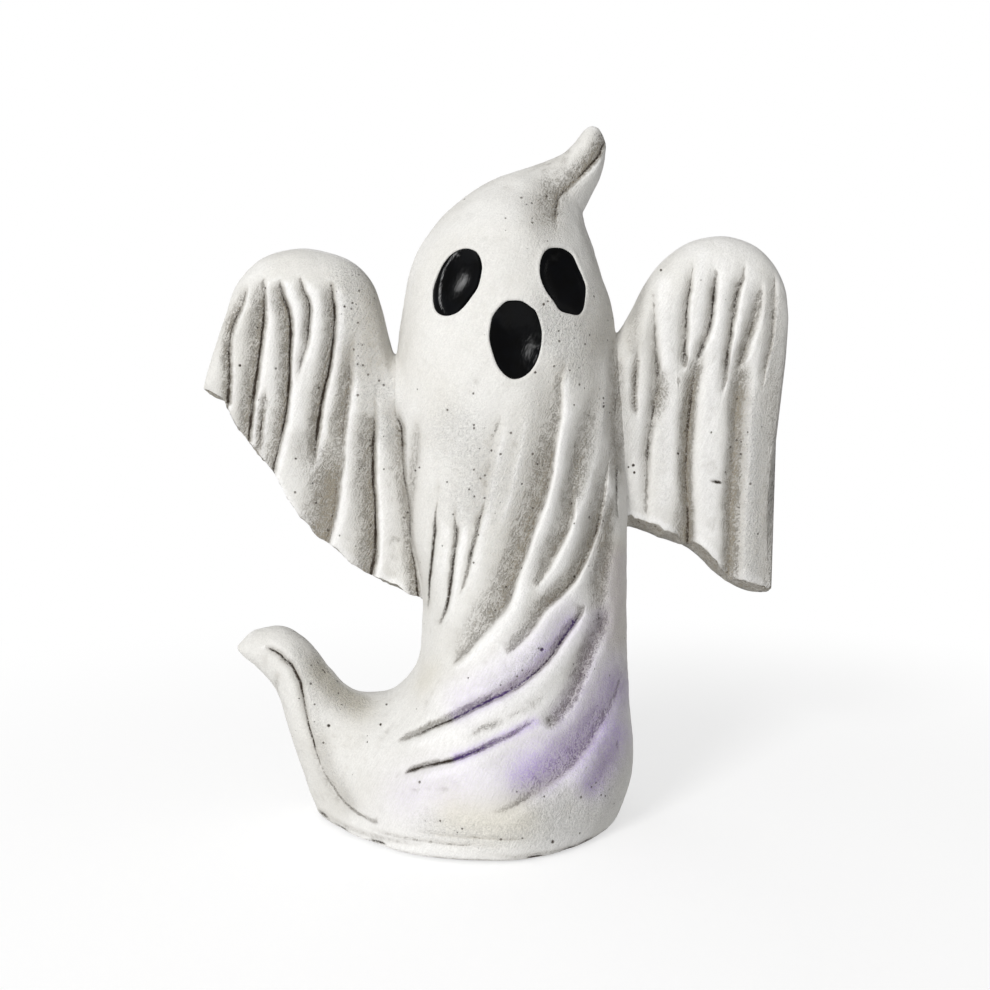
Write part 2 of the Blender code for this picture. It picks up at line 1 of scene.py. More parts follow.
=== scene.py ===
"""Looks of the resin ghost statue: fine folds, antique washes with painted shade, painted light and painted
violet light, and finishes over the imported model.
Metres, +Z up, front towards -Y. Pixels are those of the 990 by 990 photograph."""
import math

import bmesh
import bpy
import numpy as np
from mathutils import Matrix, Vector
from mathutils.bvhtree import BVHTree


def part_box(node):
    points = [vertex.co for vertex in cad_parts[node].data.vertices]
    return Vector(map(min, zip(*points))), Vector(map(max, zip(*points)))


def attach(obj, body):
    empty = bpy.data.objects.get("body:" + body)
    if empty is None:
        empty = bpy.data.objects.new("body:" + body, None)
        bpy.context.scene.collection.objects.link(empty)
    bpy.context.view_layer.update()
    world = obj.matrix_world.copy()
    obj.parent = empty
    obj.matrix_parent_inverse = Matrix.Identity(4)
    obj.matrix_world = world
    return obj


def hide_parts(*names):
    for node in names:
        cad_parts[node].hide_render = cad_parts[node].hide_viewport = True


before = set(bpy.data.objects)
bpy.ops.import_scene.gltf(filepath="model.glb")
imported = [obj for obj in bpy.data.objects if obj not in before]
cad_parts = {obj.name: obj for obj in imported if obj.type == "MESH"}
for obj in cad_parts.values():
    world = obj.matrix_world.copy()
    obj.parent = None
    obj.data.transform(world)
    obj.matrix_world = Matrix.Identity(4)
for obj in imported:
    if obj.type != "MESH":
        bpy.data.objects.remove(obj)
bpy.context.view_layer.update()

# Overall sizes and the viewpoint, as in the part's source
STATUE_HEIGHT = 0.330
STATUE_WIDTH = 0.281
BODY_DEPTH = 0.148
VIEW_DISTANCE = 0.620
VIEW_TILT = 4.4
PHOTO_MIDDLE_PX = 495.5
PHOTO_FLOOR_PX = 812
PHOTO_TOP_PX = 126
PHOTO_LEFT_PX = 203
PHOTO_RIGHT_PX = 788
PHOTO_WIDE_PX = 990
PX_ACROSS = STATUE_WIDTH / (PHOTO_RIGHT_PX - PHOTO_LEFT_PX)
PX_UP = STATUE_HEIGHT / (PHOTO_FLOOR_PX - PHOTO_TOP_PX)
TILT_SIN = math.sin(math.radians(VIEW_TILT))
TILT_COS = math.cos(math.radians(VIEW_TILT))
FLOOR_SLOPE = (PHOTO_MIDDLE_PX - PHOTO_FLOOR_PX) * PX_UP / VIEW_DISTANCE
VIEW_HEIGHT = VIEW_DISTANCE * (TILT_SIN - FLOOR_SLOPE * TILT_COS) / (TILT_COS + FLOOR_SLOPE * TILT_SIN)
EYE = (0, -VIEW_DISTANCE, VIEW_HEIGHT)
BASE_Z = 0.0015
WALL = 0.0070
MM = 0.001

# Mesh counts of the fine forms, how many of their points away a point's surroundings are, the
# triangles that each form may keep, and the darkness of line where all of them are kept
BODY_RINGS, BODY_FRONT_SIDES, BODY_BACK_SIDES = ((1050, 350, 190))
ARM_RIBS, ARM_FRONT_STEPS, ARM_BACK_STEPS = ((440, 320, 140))
SUNK_REACH = 9
CURVE_STEPS = 16
BODY_TRIANGLES = 190000
ARM_TRIANGLES = 120000
KEEP_LINE = 0.12

# Body sections from the tail's tip, round the bend and up to the head's tip: x and y of the inner
# and the outer edge, and the share of the body's depth
BODY_SECTION_SHARES = [
    (239, 645, 241, 651, 0.06), (243, 640, 247, 657, 0.09), (251, 631, 256, 664, 0.12),
    (262, 627, 264, 672, 0.14), (275, 625, 272, 681, 0.16), (288, 628, 279, 692, 0.18),
    (300, 636, 283, 704, 0.2), (310, 645, 287, 718, 0.22), (318, 655, 291, 734, 0.24),
    (326, 666, 297, 752, 0.26), (334, 675, 304, 772, 0.28), (342, 684, 312, 792, 0.3),
    (350, 690, 327, 824, 0.34), (359, 694, 341, 862, 0.41), (370, 696, 354, 897, 0.52),
    (381, 695, 380, 920, 0.65), (392, 691, 412, 930, 0.78), (401, 684, 452, 930, 0.88),
    (409, 675, 500, 920, 0.96), (415, 665, 553, 895, 1), (420, 652, 590, 858, 1),
    (422, 638, 617, 812, 0.92), (423, 620, 631, 772, 0.86), (423, 602, 633, 738, 0.8),
    (421, 582, 630, 700, 0.75), (417, 560, 628, 655, 0.7), (411, 538, 627, 612, 0.66),
    (405, 512, 627, 568, 0.63), (400, 480, 627, 522, 0.62), (396, 440, 626, 470, 0.62),
    (395, 400, 623, 418, 0.62), (398, 361, 619, 370, 0.61), (401, 325, 615, 330, 0.6),
    (404, 300, 611, 305, 0.58), (408, 276, 604, 284, 0.56), (414, 259, 599, 267, 0.53),
    (422, 245, 595, 255, 0.5), (432, 231, 591, 244, 0.47), (443, 218, 588, 236, 0.43),
    (456, 206, 586, 230, 0.39), (470, 195, 584, 224, 0.34), (485, 186, 583, 220, 0.3),
    (500, 178, 582, 217, 0.27), (515, 172, 582, 214, 0.23), (530, 167, 583, 211, 0.2),
    (545, 162, 585, 207, 0.18), (557, 158, 588, 201, 0.16), (566, 153, 592, 193, 0.15),
    (572, 147, 597, 184, 0.14), (577, 141, 601, 175, 0.13), (581, 135, 604, 166, 0.12),
    (586, 129, 606, 156, 0.1), (592, 126, 607, 146, 0.07), (598, 128, 605, 139, 0.04),
]
CAVITY_FIRST_ROW = 14
CAVITY_LAST_ROW = 38
FOOT_TUCK = 0.0009
FOOT_TUCK_HEIGHT = 0.0024

# Sleeve ribs: x and y of each rib's top and hem, its share of the thickness, and its sideways bow.
# BOW_SHARE makes the bow's curve one where it is widest.
ARM_THICKNESS = 0.042
ARM_ROUNDING = 0.027
HEM_THICKNESS = 0.014
STEP_CROWDING = 1.35
PLEATS = 6
PLEAT_DEPTH = 0.0030
BOW_SHARE = 27 / 4
LEFT_RIB_SHARES = [
    (204, 387, 206, 391, 0.22, 0), (208, 372, 214, 398, 0.34, 0), (214, 354, 225, 403, 0.46, 0),
    (221, 334, 229, 412, 0.56, 0), (229, 310, 238, 430, 0.66, 0), (236, 289, 249, 441, 0.75, 0),
    (247, 273, 261, 458, 0.84, 0), (262, 260, 275, 473, 0.92, 0), (282, 252, 288, 498, 0.98, 0),
    (305, 249, 302, 519, 1, 0), (328, 253, 318, 534, 1, 0), (348, 260, 335, 549, 1, 0),
    (363, 271, 352, 565, 0.98, 0), (374, 286, 368, 574, 0.95, 0), (381, 306, 383, 583, 0.92, 0),
    (387, 331, 398, 590, 0.9, 0), (394, 354, 412, 596, 0.9, 0), (408, 362, 426, 601, 0.9, 0),
    (438, 366, 450, 604, 0.9, 0),
]
RIGHT_RIB_SHARES = [
    (580, 348, 590, 512, 0.9, 0), (606, 343, 610, 518, 0.9, 0), (620, 331, 622, 526, 0.9, 0),
    (633, 309, 634, 529, 0.92, 0), (644, 287, 648, 534, 0.95, 0), (657, 268, 662, 540, 0.98, 0),
    (673, 253, 676, 545, 1, -1), (690, 243, 690, 550, 1, -2), (708, 238, 703, 560, 1, -3),
    (726, 237, 716, 573, 0.98, -4), (743, 241, 730, 584, 0.92, -5), (757, 248, 743, 591, 0.84, -6),
    (768, 258, 755, 594, 0.74, -8), (777, 271, 763, 594, 0.62, -9), (784, 287, 768, 594, 0.48, -9),
    (787, 306, 771, 593, 0.34, -9), (788, 326, 772, 591, 0.16, -9),
]
HEM_ROUGHNESS = 0.0005
HEM_STEPS = 10
# Painted shade on the hem, darker towards its front and back edges
HEM_EDGE_SHADE = 0.32

# Each hem's bevel in metres, and how dark its line and its wash are: painted shade, as the bevel faces down
LEFT_HEM = (0.0026, 0.20, 0.8)
RIGHT_HEM = (0.0070, 0.14, 0.72)

# Creases. Each row has the softness of its left and right side in pixels, its depth and the lip on
# its right in millimetres, how dark its line is (stain with painted shade) and how strong its wash is
# (antique wash with painted shade), and its places: x, y and strength. Left and right are the
# picture's, where the crease's places run down it.
GROOVE_DEPTH = 0.8
GROOVE_HALF_PX = 1.5
LINE_HALF_PX = (1.7, 1.0)
LIP_AWAY_PX = 3
LIP_HALF_PX = 4
BODY_CREASES = [
    (6, 3, 1.3, 0.4, 0.75, 0.2, [(439, 460, 0), (438, 500, 0.2), (436.5, 520, 0.7), (436, 533, 1),
     (430, 583, 1), (428, 606, 0.6), (426, 616, 0)]),
    (6, 3, 1.3, 0.4, 0.75, 0.2, [(456, 500, 0), (457, 522, 0.6), (458, 531, 1), (455, 556, 1),
     (447, 605, 0.9), (436, 634, 0)]),
    (7, 3, 1, 0.3, 0.5, 0.2, [(492, 480, 0), (480, 517, 1), (477, 533, 0.9), (473, 552, 1), (462, 588, 0.5),
     (452, 604, 0)]),
    (23, 4, 5, 1.3, 0.3, 0.8, [(566, 355, 0), (561, 385, 0.3), (558, 416, 0.6), (550, 467, 1),
     (546, 486, 1), (529, 538, 1), (521.5, 563, 1), (505, 605, 0.9), (492, 621, 0.75), (464, 656, 0.3),
     (450, 668, 0)]),
    (11, 12, 3.4, 0, 0.05, 0.7, [(604, 345, 0), (594, 403, 0.6), (583, 442, 0.9), (575, 486, 0.9),
     (566, 520, 0)]),
    (14, 4, 4, 1.1, 0.35, 0.65, [(579, 452, 0), (574, 500, 1), (571, 517, 1), (563, 537, 1),
     (553, 554, 0.9), (534, 594, 0)]),
    (12, 3, 4, 1.3, 0.5, 0.8, [(616, 425, 0), (599, 522, 1), (594, 543, 1), (576, 577, 1), (545, 610, 0.9),
     (535, 625, 0.7), (521, 641, 0.4), (505, 656, 0)]),
    (12, 6, 2.6, 0.6, 0.15, 0.7, [(617, 480, 0), (613, 505, 0.7), (609, 520, 1), (603, 583, 1),
     (601, 605, 0.7), (597, 625, 0.3)]),
    (9, 5, 1.2, 0.2, 0.2, 0.4, [(417, 410, 0), (418, 430, 0.8), (416, 460, 1), (412, 499, 0.9),
     (411, 520, 0.3)]),
    (10, 4, 2.9, 1.2, 0.8, 0.05, [(586, 602, 0), (577, 619, 0.8), (570, 629, 1), (550, 658, 0.9),
     (526, 681, 0.9), (497, 698, 1), (431, 729, 0.8), (405, 738, 0.4), (392, 743, 0)]),
    (5, 4, 1.2, 0.7, 0.9, 0, [(548, 712, 0), (520.5, 729, 0.2), (507, 738, 0.35), (472, 752, 0.85),
     (450, 762, 1), (417, 770, 1), (405, 774, 0.2)]),
    (11, 7, 3.6, 0.8, 0.3, 0.7, [(604, 600, 0), (602, 621, 0.9), (597, 634, 0.9), (590, 650, 1),
     (575, 691, 1), (556, 721, 0.8), (548, 732, 0)]),
    (26, 7, 4, 0.8, 0.05, 0.45, [(630, 655, 0.2), (620, 680, 0.5), (592, 735, 1), (573, 762, 1),
     (553, 780, 0.9), (531, 796, 0.5), (508, 808, 0.25), (480, 816, 0)]),
    (11, 8, 2, 0, 0, 0.3, [(620, 725, 0), (613, 750, 0.8), (606, 766, 1), (597, 783, 0.8), (584, 798, 0.3),
     (566, 812, 0)]),
    (5, 4, 2, 0.5, 0.85, 0.4, [(264, 647, 0), (272, 650.5, 0.8), (280, 654, 0.9), (286, 660, 1),
     (293, 666, 1), (301, 681, 1), (303, 693, 1), (307, 718, 0.7), (314, 743, 0.7), (318, 756, 0.5),
     (331, 782.5, 0.45), (356, 811, 0.5), (384, 828, 0)]),
    (16, 18, 1.6, 0, 0, 0.3, [(300, 650, 0), (316, 668, 0.8), (334, 688, 1), (352, 704, 1), (372, 712, 0.5),
     (392, 712, 0)]),
    (3, 2, 0.5, 0, 0.25, 0.1, [(329.5, 774, 0.3), (343, 790, 0.7), (358, 806, 0.8), (373, 817, 0.4)]),
    (12, 3, 2.8, 0.9, 0.55, 0.9, [(607, 143, 0.8), (602, 151, 1), (598.5, 157.5, 1), (569, 188, 0.9),
     (558, 199, 0.9), (555.5, 216, 0.8), (559, 238, 0)]),
    (20, 16, 2, 0, 0, 0.6, [(584, 158, 0), (568, 176, 0.5), (552, 196, 1), (549, 214, 1), (554, 232, 0.5),
     (562, 248, 0)]),
    (4, 3, 0.5, 0, 0.2, 0.2, [(492, 189, 0), (515, 178, 0.5), (541, 165, 1), (548, 164, 1), (556, 160, 0.8),
     (566, 156, 0)]),
    (3, 3, 0.5, 0, 0.15, 0.3, [(324, 812, 0.4), (345, 826, 1), (380, 838, 1), (420, 845, 0.6)]),
    (2, 3, 0.4, 0, 0.12, 0.3, [(360, 826, 0), (395, 836, 1), (450, 845, 1), (500, 848, 0.4)]),
    (2, 3, 0.4, 0, 0.1, 0.2, [(400, 828, 0), (440, 836, 1), (500, 840, 1), (550, 836, 0)]),
    (3, 2, 0.5, 0, 0.15, 0.3, [(480, 856, 0.2), (530, 855, 1), (575, 846, 1), (604, 830, 0.5)]),
    (12, 8, 1.1, 0.2, 0, 0.22, [(500, 392, 0), (497, 425, 0.7), (490, 462, 1), (484, 500, 0.8),
     (478, 530, 0)]),
    (14, 10, 1.2, 0, 0, 0.12, [(524, 395, 0), (518, 440, 0.8), (508, 488, 1), (498, 530, 0.6),
     (490, 560, 0)]),
    (2, 2, 0.8, 0, 0.9, 0.5, [(369, 838, 0), (375, 841, 1), (383, 843.5, 0.8), (389, 846, 0)]),
    (2, 2, 0.8, 0, 0.9, 0.5, [(524, 858, 0), (531, 857.5, 1), (540, 856.5, 0.8), (546, 856, 0)]),
    (2, 2, 0.8, 0, 0.9, 0.5, [(560, 852, 0), (568, 850, 1), (577, 846, 0.5), (588, 841, 0.9),
     (598, 836, 0)]),
    (2, 2, 0.7, 0, 0.8, 0.4, [(316, 806, 0), (324, 814, 0.8), (334, 822, 0.5), (344, 829, 0.9),
     (352, 833, 0)]),
]
LEFT_SEAM = (10, 4, 2.8, 0.4, 0.62, 0.8, [(396, 392, 0), (397, 414.5, 0.7), (401, 426, 0.9), (402, 441, 1),
    (403, 459, 0.8), (405.5, 482, 0.8), (409, 503, 0.8), (412.5, 547, 0.8), (417, 583, 1), (420, 602, 1)])
RIGHT_SEAM_SOFT = (10, 8, 2.4, 0.2, 0.28, 0.65, [(614, 335, 0.5), (616, 370, 0.9), (617, 440, 1),
    (618, 462, 1), (618, 490, 0.4)])
RIGHT_SEAM_CRISP = (3, 2, 1.4, 0.3, 0.5, 0.4, [(618.5, 445, 0), (618.5, 474, 0.9), (617, 508, 1),
    (618, 518, 0.6)])
LEFT_ARM_CREASES = [
    (8, 3, 2.6, 0.8, 0.8, 0.8, [(249, 282, 0), (244, 299.5, 0.6), (234.5, 326, 1), (231, 337, 0.8),
     (228.5, 352, 0.9), (230, 374, 1), (228, 403, 1)]),
    (13, 3, 4.2, 1, 0.8, 0.8, [(263, 276, 0), (265.5, 305, 0.9), (260.5, 346.5, 1), (249, 440, 1)]),
    (12, 3, 4, 1, 1, 0.85, [(279, 280, 0), (283, 294, 0.8), (291, 325, 1), (286.5, 411, 1),
     (273, 474, 0.7)]),
    (6, 4, 2, 0.6, 0.5, 0.7, [(266, 386, 0), (265, 403, 0.7), (263, 422, 1), (259.5, 448, 0.8),
     (256, 460, 0.4)]),
    (7, 3, 3.2, 0.8, 0.95, 0.7, [(300, 276, 0), (304, 292, 0.6), (308, 301, 0.9), (309.5, 311, 1),
     (308.5, 338, 0.9), (307, 348, 0.7), (302.5, 360, 0.5), (296, 388, 0)]),
    (11, 3, 4.5, 1.1, 0.9, 0.8, [(331, 280, 0), (333.5, 298, 0.8), (335.5, 311, 0.9), (335, 329, 0.9),
     (330, 363, 1), (323.5, 395, 1), (317, 442.5, 0.9), (313, 475, 0.2), (310, 492, 0)]),
    (13, 4, 3.2, 0.9, 0.35, 0.75, [(353, 332, 0), (350, 364, 0.8), (345.5, 410, 1), (342, 445, 0.8),
     (338, 468, 0)]),
    (27, 4, 5.2, 1.2, 0.3, 1, [(344, 425, 0), (337.5, 488, 1), (331, 528, 1), (326, 542, 1)]),
    (18, 3, 4.7, 1.2, 0.85, 0.85, [(376, 385, 0), (375.5, 411, 0.35), (374.5, 429, 0.8), (373, 482, 1),
     (375.5, 503, 1), (375.5, 554, 1), (371, 577, 1)]),
    LEFT_SEAM,
]
RIGHT_ARM_CREASES = [
    (5, 3, 1.4, 0.4, 0.42, 0.7, [(638, 344, 0), (637, 359, 0.7), (636, 374, 1), (636, 403, 0.9),
     (637, 418, 0)]),
    (7, 4, 3.3, 0.9, 0.45, 0.45, [(653, 285, 0), (655, 305, 0.4), (658, 368, 1), (659, 383, 1),
     (652.5, 417, 1), (648, 458, 0.9), (647, 530, 0.2)]),
    (3, 11, 2.4, 0, 0, 0.7, [(664, 366, 0), (660, 384, 0.8), (656, 400, 1), (650, 436, 0)]),
    (6, 3, 2.6, 0.7, 0.6, 0.5, [(694, 258, 0), (693.5, 270, 0.35), (690, 289, 0.8), (685.5, 349, 1),
     (688, 374, 0)]),
    (6, 3, 3.3, 0.9, 0.75, 0.55, [(718, 267, 0), (717.5, 279, 0.6), (716, 290, 1), (710, 326, 1),
     (701, 352, 0.8), (692, 384, 0)]),
    (8, 6, 4.8, 1, 0.5, 1, [(704, 345, 0), (698, 370, 0.6), (693, 390, 0.9), (687.5, 450, 1),
     (689, 545, 1)]),
    (12, 6, 4.4, 0, 0.1, 0.9, [(688, 480, 0), (687, 505, 0.6), (688, 530, 1), (689, 546, 1)]),
    (6, 3, 3, 0.9, 0.6, 0.6, [(745, 259, 0), (743, 279, 0.4), (739, 291, 0.8), (733, 322, 0.9),
     (732, 334, 1), (728, 358, 1), (724, 402, 0)]),
    (7, 5, 3.6, 0.9, 0.35, 0.65, [(762, 280, 0), (758, 306, 0.7), (751, 332, 1), (739, 372, 0.8),
     (735, 402, 0)]),
    (8, 11, 4.6, 0.5, 0.2, 0.9, [(745, 356, 0), (741, 376, 0.7), (738, 398, 1), (736, 424, 1),
     (732, 520, 1), (728, 577, 1)]),
    (6, 3, 2.6, 0.7, 0.4, 0.5, [(776, 266, 0), (775, 287, 0.6), (774, 319, 1), (771, 345, 1), (767, 364, 1),
     (761, 414, 0)]),
    (22, 28, 4.5, 0, 0, 0.45, [(797, 300, 0), (790, 370, 0.8), (782, 430, 1), (778, 500, 1), (777, 560, 1),
     (780, 596, 1)]),
    RIGHT_SEAM_SOFT,
    RIGHT_SEAM_CRISP,
]
BODY_CREASES += [LEFT_SEAM, RIGHT_SEAM_SOFT, RIGHT_SEAM_CRISP]
BODY_BACK_CREASES = [
    (20, 6, 4, 0.7, 0.4, 0.6, [(396, 380, 0), (404, 420, 0.6), (430, 480, 1), (455, 522, 1), (480, 560, 1),
     (530, 640, 1), (575, 715, 0.6), (590, 745, 0)]),
    (22, 6, 4.4, 0.7, 0.4, 0.6, [(418, 585, 0), (440, 625, 0.8), (465, 655, 1), (525, 712, 1),
     (590, 752, 0.6), (612, 760, 0)]),
    (18, 5, 3.4, 0.6, 0.5, 0.6, [(438, 350, 0), (450, 395, 0.6), (482, 450, 1), (525, 530, 1),
     (572, 610, 1), (612, 690, 0.5), (622, 715, 0)]),
    (16, 5, 2.8, 0.5, 0.4, 0.5, [(516, 330, 0), (530, 375, 0.6), (555, 430, 1), (590, 505, 1),
     (622, 570, 0.5)]),
    (20, 6, 3.6, 0.6, 0.3, 0.5, [(340, 695, 0), (370, 718, 0.7), (400, 735, 1), (470, 768, 1),
     (550, 790, 0.7), (585, 795, 0)]),
    (9, 4, 2.4, 0.3, 0.7, 0.4, [(262, 645, 0), (270, 650, 0.6), (292, 680, 1), (306, 725, 1), (328, 775, 1),
     (370, 806, 0.4), (392, 815, 0)]),
    (12, 5, 2, 0.4, 0.5, 0.4, [(408, 470, 0), (428, 530, 0.8), (455, 590, 1), (480, 625, 0.7),
     (500, 650, 0)]),
]

# Air bubbles: x, y, size in pixels and depth in millimetres. A nick is a short crease.
FRONT_PITS = [
    (542, 650, 1.8, 1), (573, 622, 1.3, 0.6), (329, 726, 1.4, 0.7), (381, 725, 1.2, 0.6),
    (387, 705, 1.1, 0.5), (634, 466, 1.4, 0.7), (629, 467.5, 1, 0.5), (635, 473, 1.1, 0.5),
    (679, 454, 1.2, 0.6), (712, 433, 1, 0.5), (604, 407, 1.4, 0.6), (276, 369, 1.3, 0.6),
    (240, 366, 1.2, 0.5), (345, 307, 1.2, 0.6), (662, 271, 1.2, 0.5), (553, 842, 1.6, 0.5),
    (544, 305, 1.3, 0.5), (548, 302, 1, 0.4), (536, 373, 1.2, 0.4), (313, 484, 1.2, 0.5),
    (296, 459, 1.1, 0.4), (340, 536, 1, 0.4), (404, 518, 1.2, 0.5), (408, 513, 1.2, 0.5),
    (481, 479, 1.2, 0.5), (492, 451, 1, 0.4), (420, 468, 1.1, 0.5), (416, 471, 1, 0.4),
    (572, 504, 1.3, 0.5), (575, 577, 1.4, 0.5), (411, 665, 1, 0.4),
]
FRONT_NICKS = [
    (1.4, 1.2, 0.7, 0, 1, 0.1, [(712, 481, 0.2), (716, 482, 1), (720, 482.6, 0.9), (725, 483.5, 0.1)]),
]

# Face openings: their outlines, how deep each floor is dished and how far it leans across and up,
# and the black filling, which reaches a little past the opening
FACE_OUTLINES = {
    "left_eye": [(464, 249.5), (473, 251), (478.5, 256), (481.5, 265), (481, 274), (477.5, 287.5),
    (471, 297.5), (464, 306.5), (456, 313), (445.5, 315.5), (437.5, 312), (434, 304), (433.5, 291),
    (437.5, 277.5), (444, 264), (453, 254)],
    "right_eye": [(558, 248.5), (565.5, 250), (573.5, 256), (579, 267.5), (583.5, 277.5), (586.5, 287.5),
    (585.5, 302), (583.5, 310), (579, 314.5), (571, 313.5), (561, 310), (554.5, 301), (546.5, 289.5),
    (542, 277.5), (541.5, 265), (544.5, 255), (550, 249.5)],
    "mouth": [(514.5, 301.5), (523, 302.5), (532, 308.5), (536.5, 313), (541, 326.5), (542, 335.5),
    (541, 347.5), (537.5, 360), (532, 369.5), (525.5, 375.5), (518, 378.5), (511, 378), (504, 373),
    (498, 364.5), (493.5, 352), (490.5, 339), (491.5, 326.5), (494, 316.5), (501, 307.5), (507.5, 302.5)],
}
FLOOR_SHAPES = {"left_eye": (0.0036, 0.0023, -0.0002), "right_eye": (0.0030, 0.0006, 0.0),
                "mouth": (0.0030, 0.0, 0.0)}
RIM_RECESS = 0.0004
RIM_LIP = 0.00025
GLOSS_THICKNESS = 0.0010
GLOSS_OVERLAP = 1.03
GLOSS_SIDES = 120
GLOSS_CIRCLES = 26

# Colour patches: half width in pixels, strength, and the places of a stroke
# Painted violet light: coloured light falling on the lower body and its creases
VIOLET_LIGHT_PATCHES = [
    (6, 0.45, [(571, 622), (520, 682), (456, 716)]),
    (19, 0.2, [(570, 620), (545, 645), (510, 672), (465, 700)]),
    (5, 0.65, [(535, 723), (474, 752), (458, 758)]),
    (9, 0.3, [(601, 618), (578, 685), (560, 714)]),
    (22, 0.58, [(614, 690), (590, 728), (565, 754), (538, 770)]),
    (13, 0.35, [(592, 732), (574, 752), (552, 768), (520, 778)]),
    (14, 0.64, [(618, 735), (608, 760), (592, 784)]),
    (26, 0.16, [(540, 745), (500, 775), (440, 785), (410, 795)]),
    (14, 0.18, [(618, 560), (614, 620), (614, 680)]),
]
SPECKLED_PATCHES = [
    (26, 1, [(356, 282), (364, 310), (364, 345)]),
    (22, 0.55, [(545, 812), (585, 800), (614, 770)]),
    (20, 0.7, [(382, 395), (384, 430)]),
    (24, 0.5, [(535, 200), (545, 230)]),
    (30, 0.6, [(590, 300), (600, 345)]),
    (18, 0.6, [(360, 360), (372, 385)]),
    (16, 1, [(318, 668), (335, 690), (356, 703)]),
    (34, 0.6, [(455, 430), (480, 470), (470, 500)]),
    (20, 0.4, [(540, 400), (525, 480), (505, 560)]),
    (20, 0.5, [(430, 826), (480, 834), (560, 828), (604, 800)]),
    (24, 0.4, [(612, 690), (572, 755), (545, 782)]),
    (16, 0.6, [(540, 655), (500, 690)]),
    (10, 0.5, [(296, 655), (318, 740), (350, 800)]),
    (16, 0.6, [(607, 395), (610, 430)]),
    (12, 0.25, [(664, 430), (662, 470), (666, 500)]),
    (22, 0.8, [(548, 310), (560, 335), (572, 362)]),
    (16, 0.7, [(748, 400), (752, 480), (752, 570)]),
]
# Painted shade with some antique wash: darker patches on sides turned from the lamp, near the seams and in
# the tail's bend
PAINTED_SHADE_AND_WASH_PATCHES = [
    (20, 0.42, [(372, 290), (372, 330), (378, 362)]),
    (16, 0.1, [(322, 676), (335, 690), (352, 702)]),
    (14, 0.08, [(628, 395), (626, 430), (626, 480)]),
    (18, 0.2, [(590, 320), (610, 450), (608, 520)]),
    (12, 0.22, [(588, 222), (606, 310), (600, 345)]),
    (10, 0.12, [(616, 550), (618, 590), (618, 640)]),
    (12, 0.3, [(318, 745), (330, 778), (350, 804)]),
    (14, 0.25, [(300, 440), (314, 490), (316, 528)]),
    (12, 0.3, [(774, 300), (770, 420), (767, 560)]),
    (9, 0.3, [(643, 282), (636, 320), (632, 350)]),
]
# Painted light: paler strokes on ridges and on places that turn from the lamp, such as the foot, the tail's
# bend and the chest's right side
PAINTED_LIGHT_PATCHES = [
    (9, 0.9, [(664, 285), (670, 420), (666, 500)]),
    (7, 0.9, [(704, 255), (701, 300), (697, 335)]),
    (12, 0.9, [(724, 265), (711, 420), (708, 530)]),
    (8, 0.7, [(752, 270), (750, 300)]),
    (6, 0.7, [(757, 350), (752, 420), (750, 520)]),
    (22, 0.9, [(440, 738), (500, 724), (552, 702)]),
    (22, 0.4, [(380, 760), (430, 788)]),
    (20, 0.8, [(470, 772), (505, 776), (535, 752)]),
    (14, 0.6, [(690, 246), (720, 242), (750, 248)]),
    (20, 0.8, [(560, 812), (600, 800)]),
    (14, 0.6, [(318, 690), (330, 712)]),
    (10, 0.5, [(606, 370), (606, 440)]),
    (9, 0.6, [(350, 395), (350, 450)]),
    (12, 0.5, [(640, 400), (640, 500)]),
    (12, 0.8, [(480, 668), (520, 645), (550, 618)]),
    (9, 0.8, [(548, 500), (536, 550), (515, 605), (480, 650)]),
    (6, 0.8, [(598, 560), (580, 592), (560, 612)]),
    (14, 0.7, [(440, 700), (480, 680), (510, 662)]),
    (7, 0.7, [(272, 300), (272, 400)]),
    (6, 0.7, [(299, 310), (298, 420)]),
    (8, 0.6, [(318, 300), (306, 380), (296, 440)]),
    (7, 0.7, [(342, 300), (338, 340)]),
    (10, 0.6, [(350, 460), (346, 540)]),
    (8, 0.6, [(386, 460), (388, 560)]),
    (16, 0.9, [(345, 838), (420, 848), (500, 850), (580, 838)]),
    (26, 0.5, [(400, 810), (480, 826), (560, 812)]),
]
WARM_PATCHES = [
    (22, 0.5, [(455, 815), (490, 822), (520, 818)]),
    (14, 0.4, [(322, 672), (340, 692), (358, 704)]),
    (12, 0.3, [(424, 684), (430, 672)]),
    (14, 0.5, [(616, 550), (618, 590), (618, 640)]),
]

# Fillets between arms and body: photograph's y and the fillet's reach in millimetres
LEFT_FILLET = [(340, 2.5), (362, 3.5), (380, 9), (402, 8), (416, 4), (440, 2.5), (600, 1.6)]
RIGHT_FILLET = [(320, 2.0), (338, 3.0), (352, 8), (450, 8), (470, 2.0), (530, 1.6)]
ARM_EMBED = 0.0030
ARM_SEARCH = 0.06

# A felt pad's profile, from the middle of its underside to that of its top: shares of radius and height
FELT_PROFILE = [(0.04, 0.03), (0.5, 0.0), (0.9, 0.02), (0.975, 0.10), (0.995, 0.28), (1.0, 0.5),
                (0.995, 0.72), (0.975, 0.90), (0.9, 0.98), (0.5, 1.0), (0.04, 0.97)]

# Soft light: the side that it comes from, its level, and how much it leans to that side
LIGHT_SIDE = (-0.60, -0.70, 0.38)
SOFT_LEVEL = 0.345
SOFT_LEAN = 0.20

# Where the lamps point, the floor's size, and the width of the camera's sensor
LAMP_TARGET = (0, 0, 0.16)
FLOOR_RADIUS = 4
FLOOR_SIDES = 96
SENSOR_MM = 36

# Colours, as linear values
WHITE = (1, 1, 1)
FLOOR_GREY = (0.86, 0.86, 0.86)
SHADOW_GREY = (0.48, 0.48, 0.48)
CREAM = (0.81, 0.80, 0.77)
CREAM_DIM = (0.755, 0.74, 0.70)
# Pale white for the ridges and for painted light
RIDGE_AND_PAINTED_LIGHT_PALE = (0.91, 0.90, 0.88)
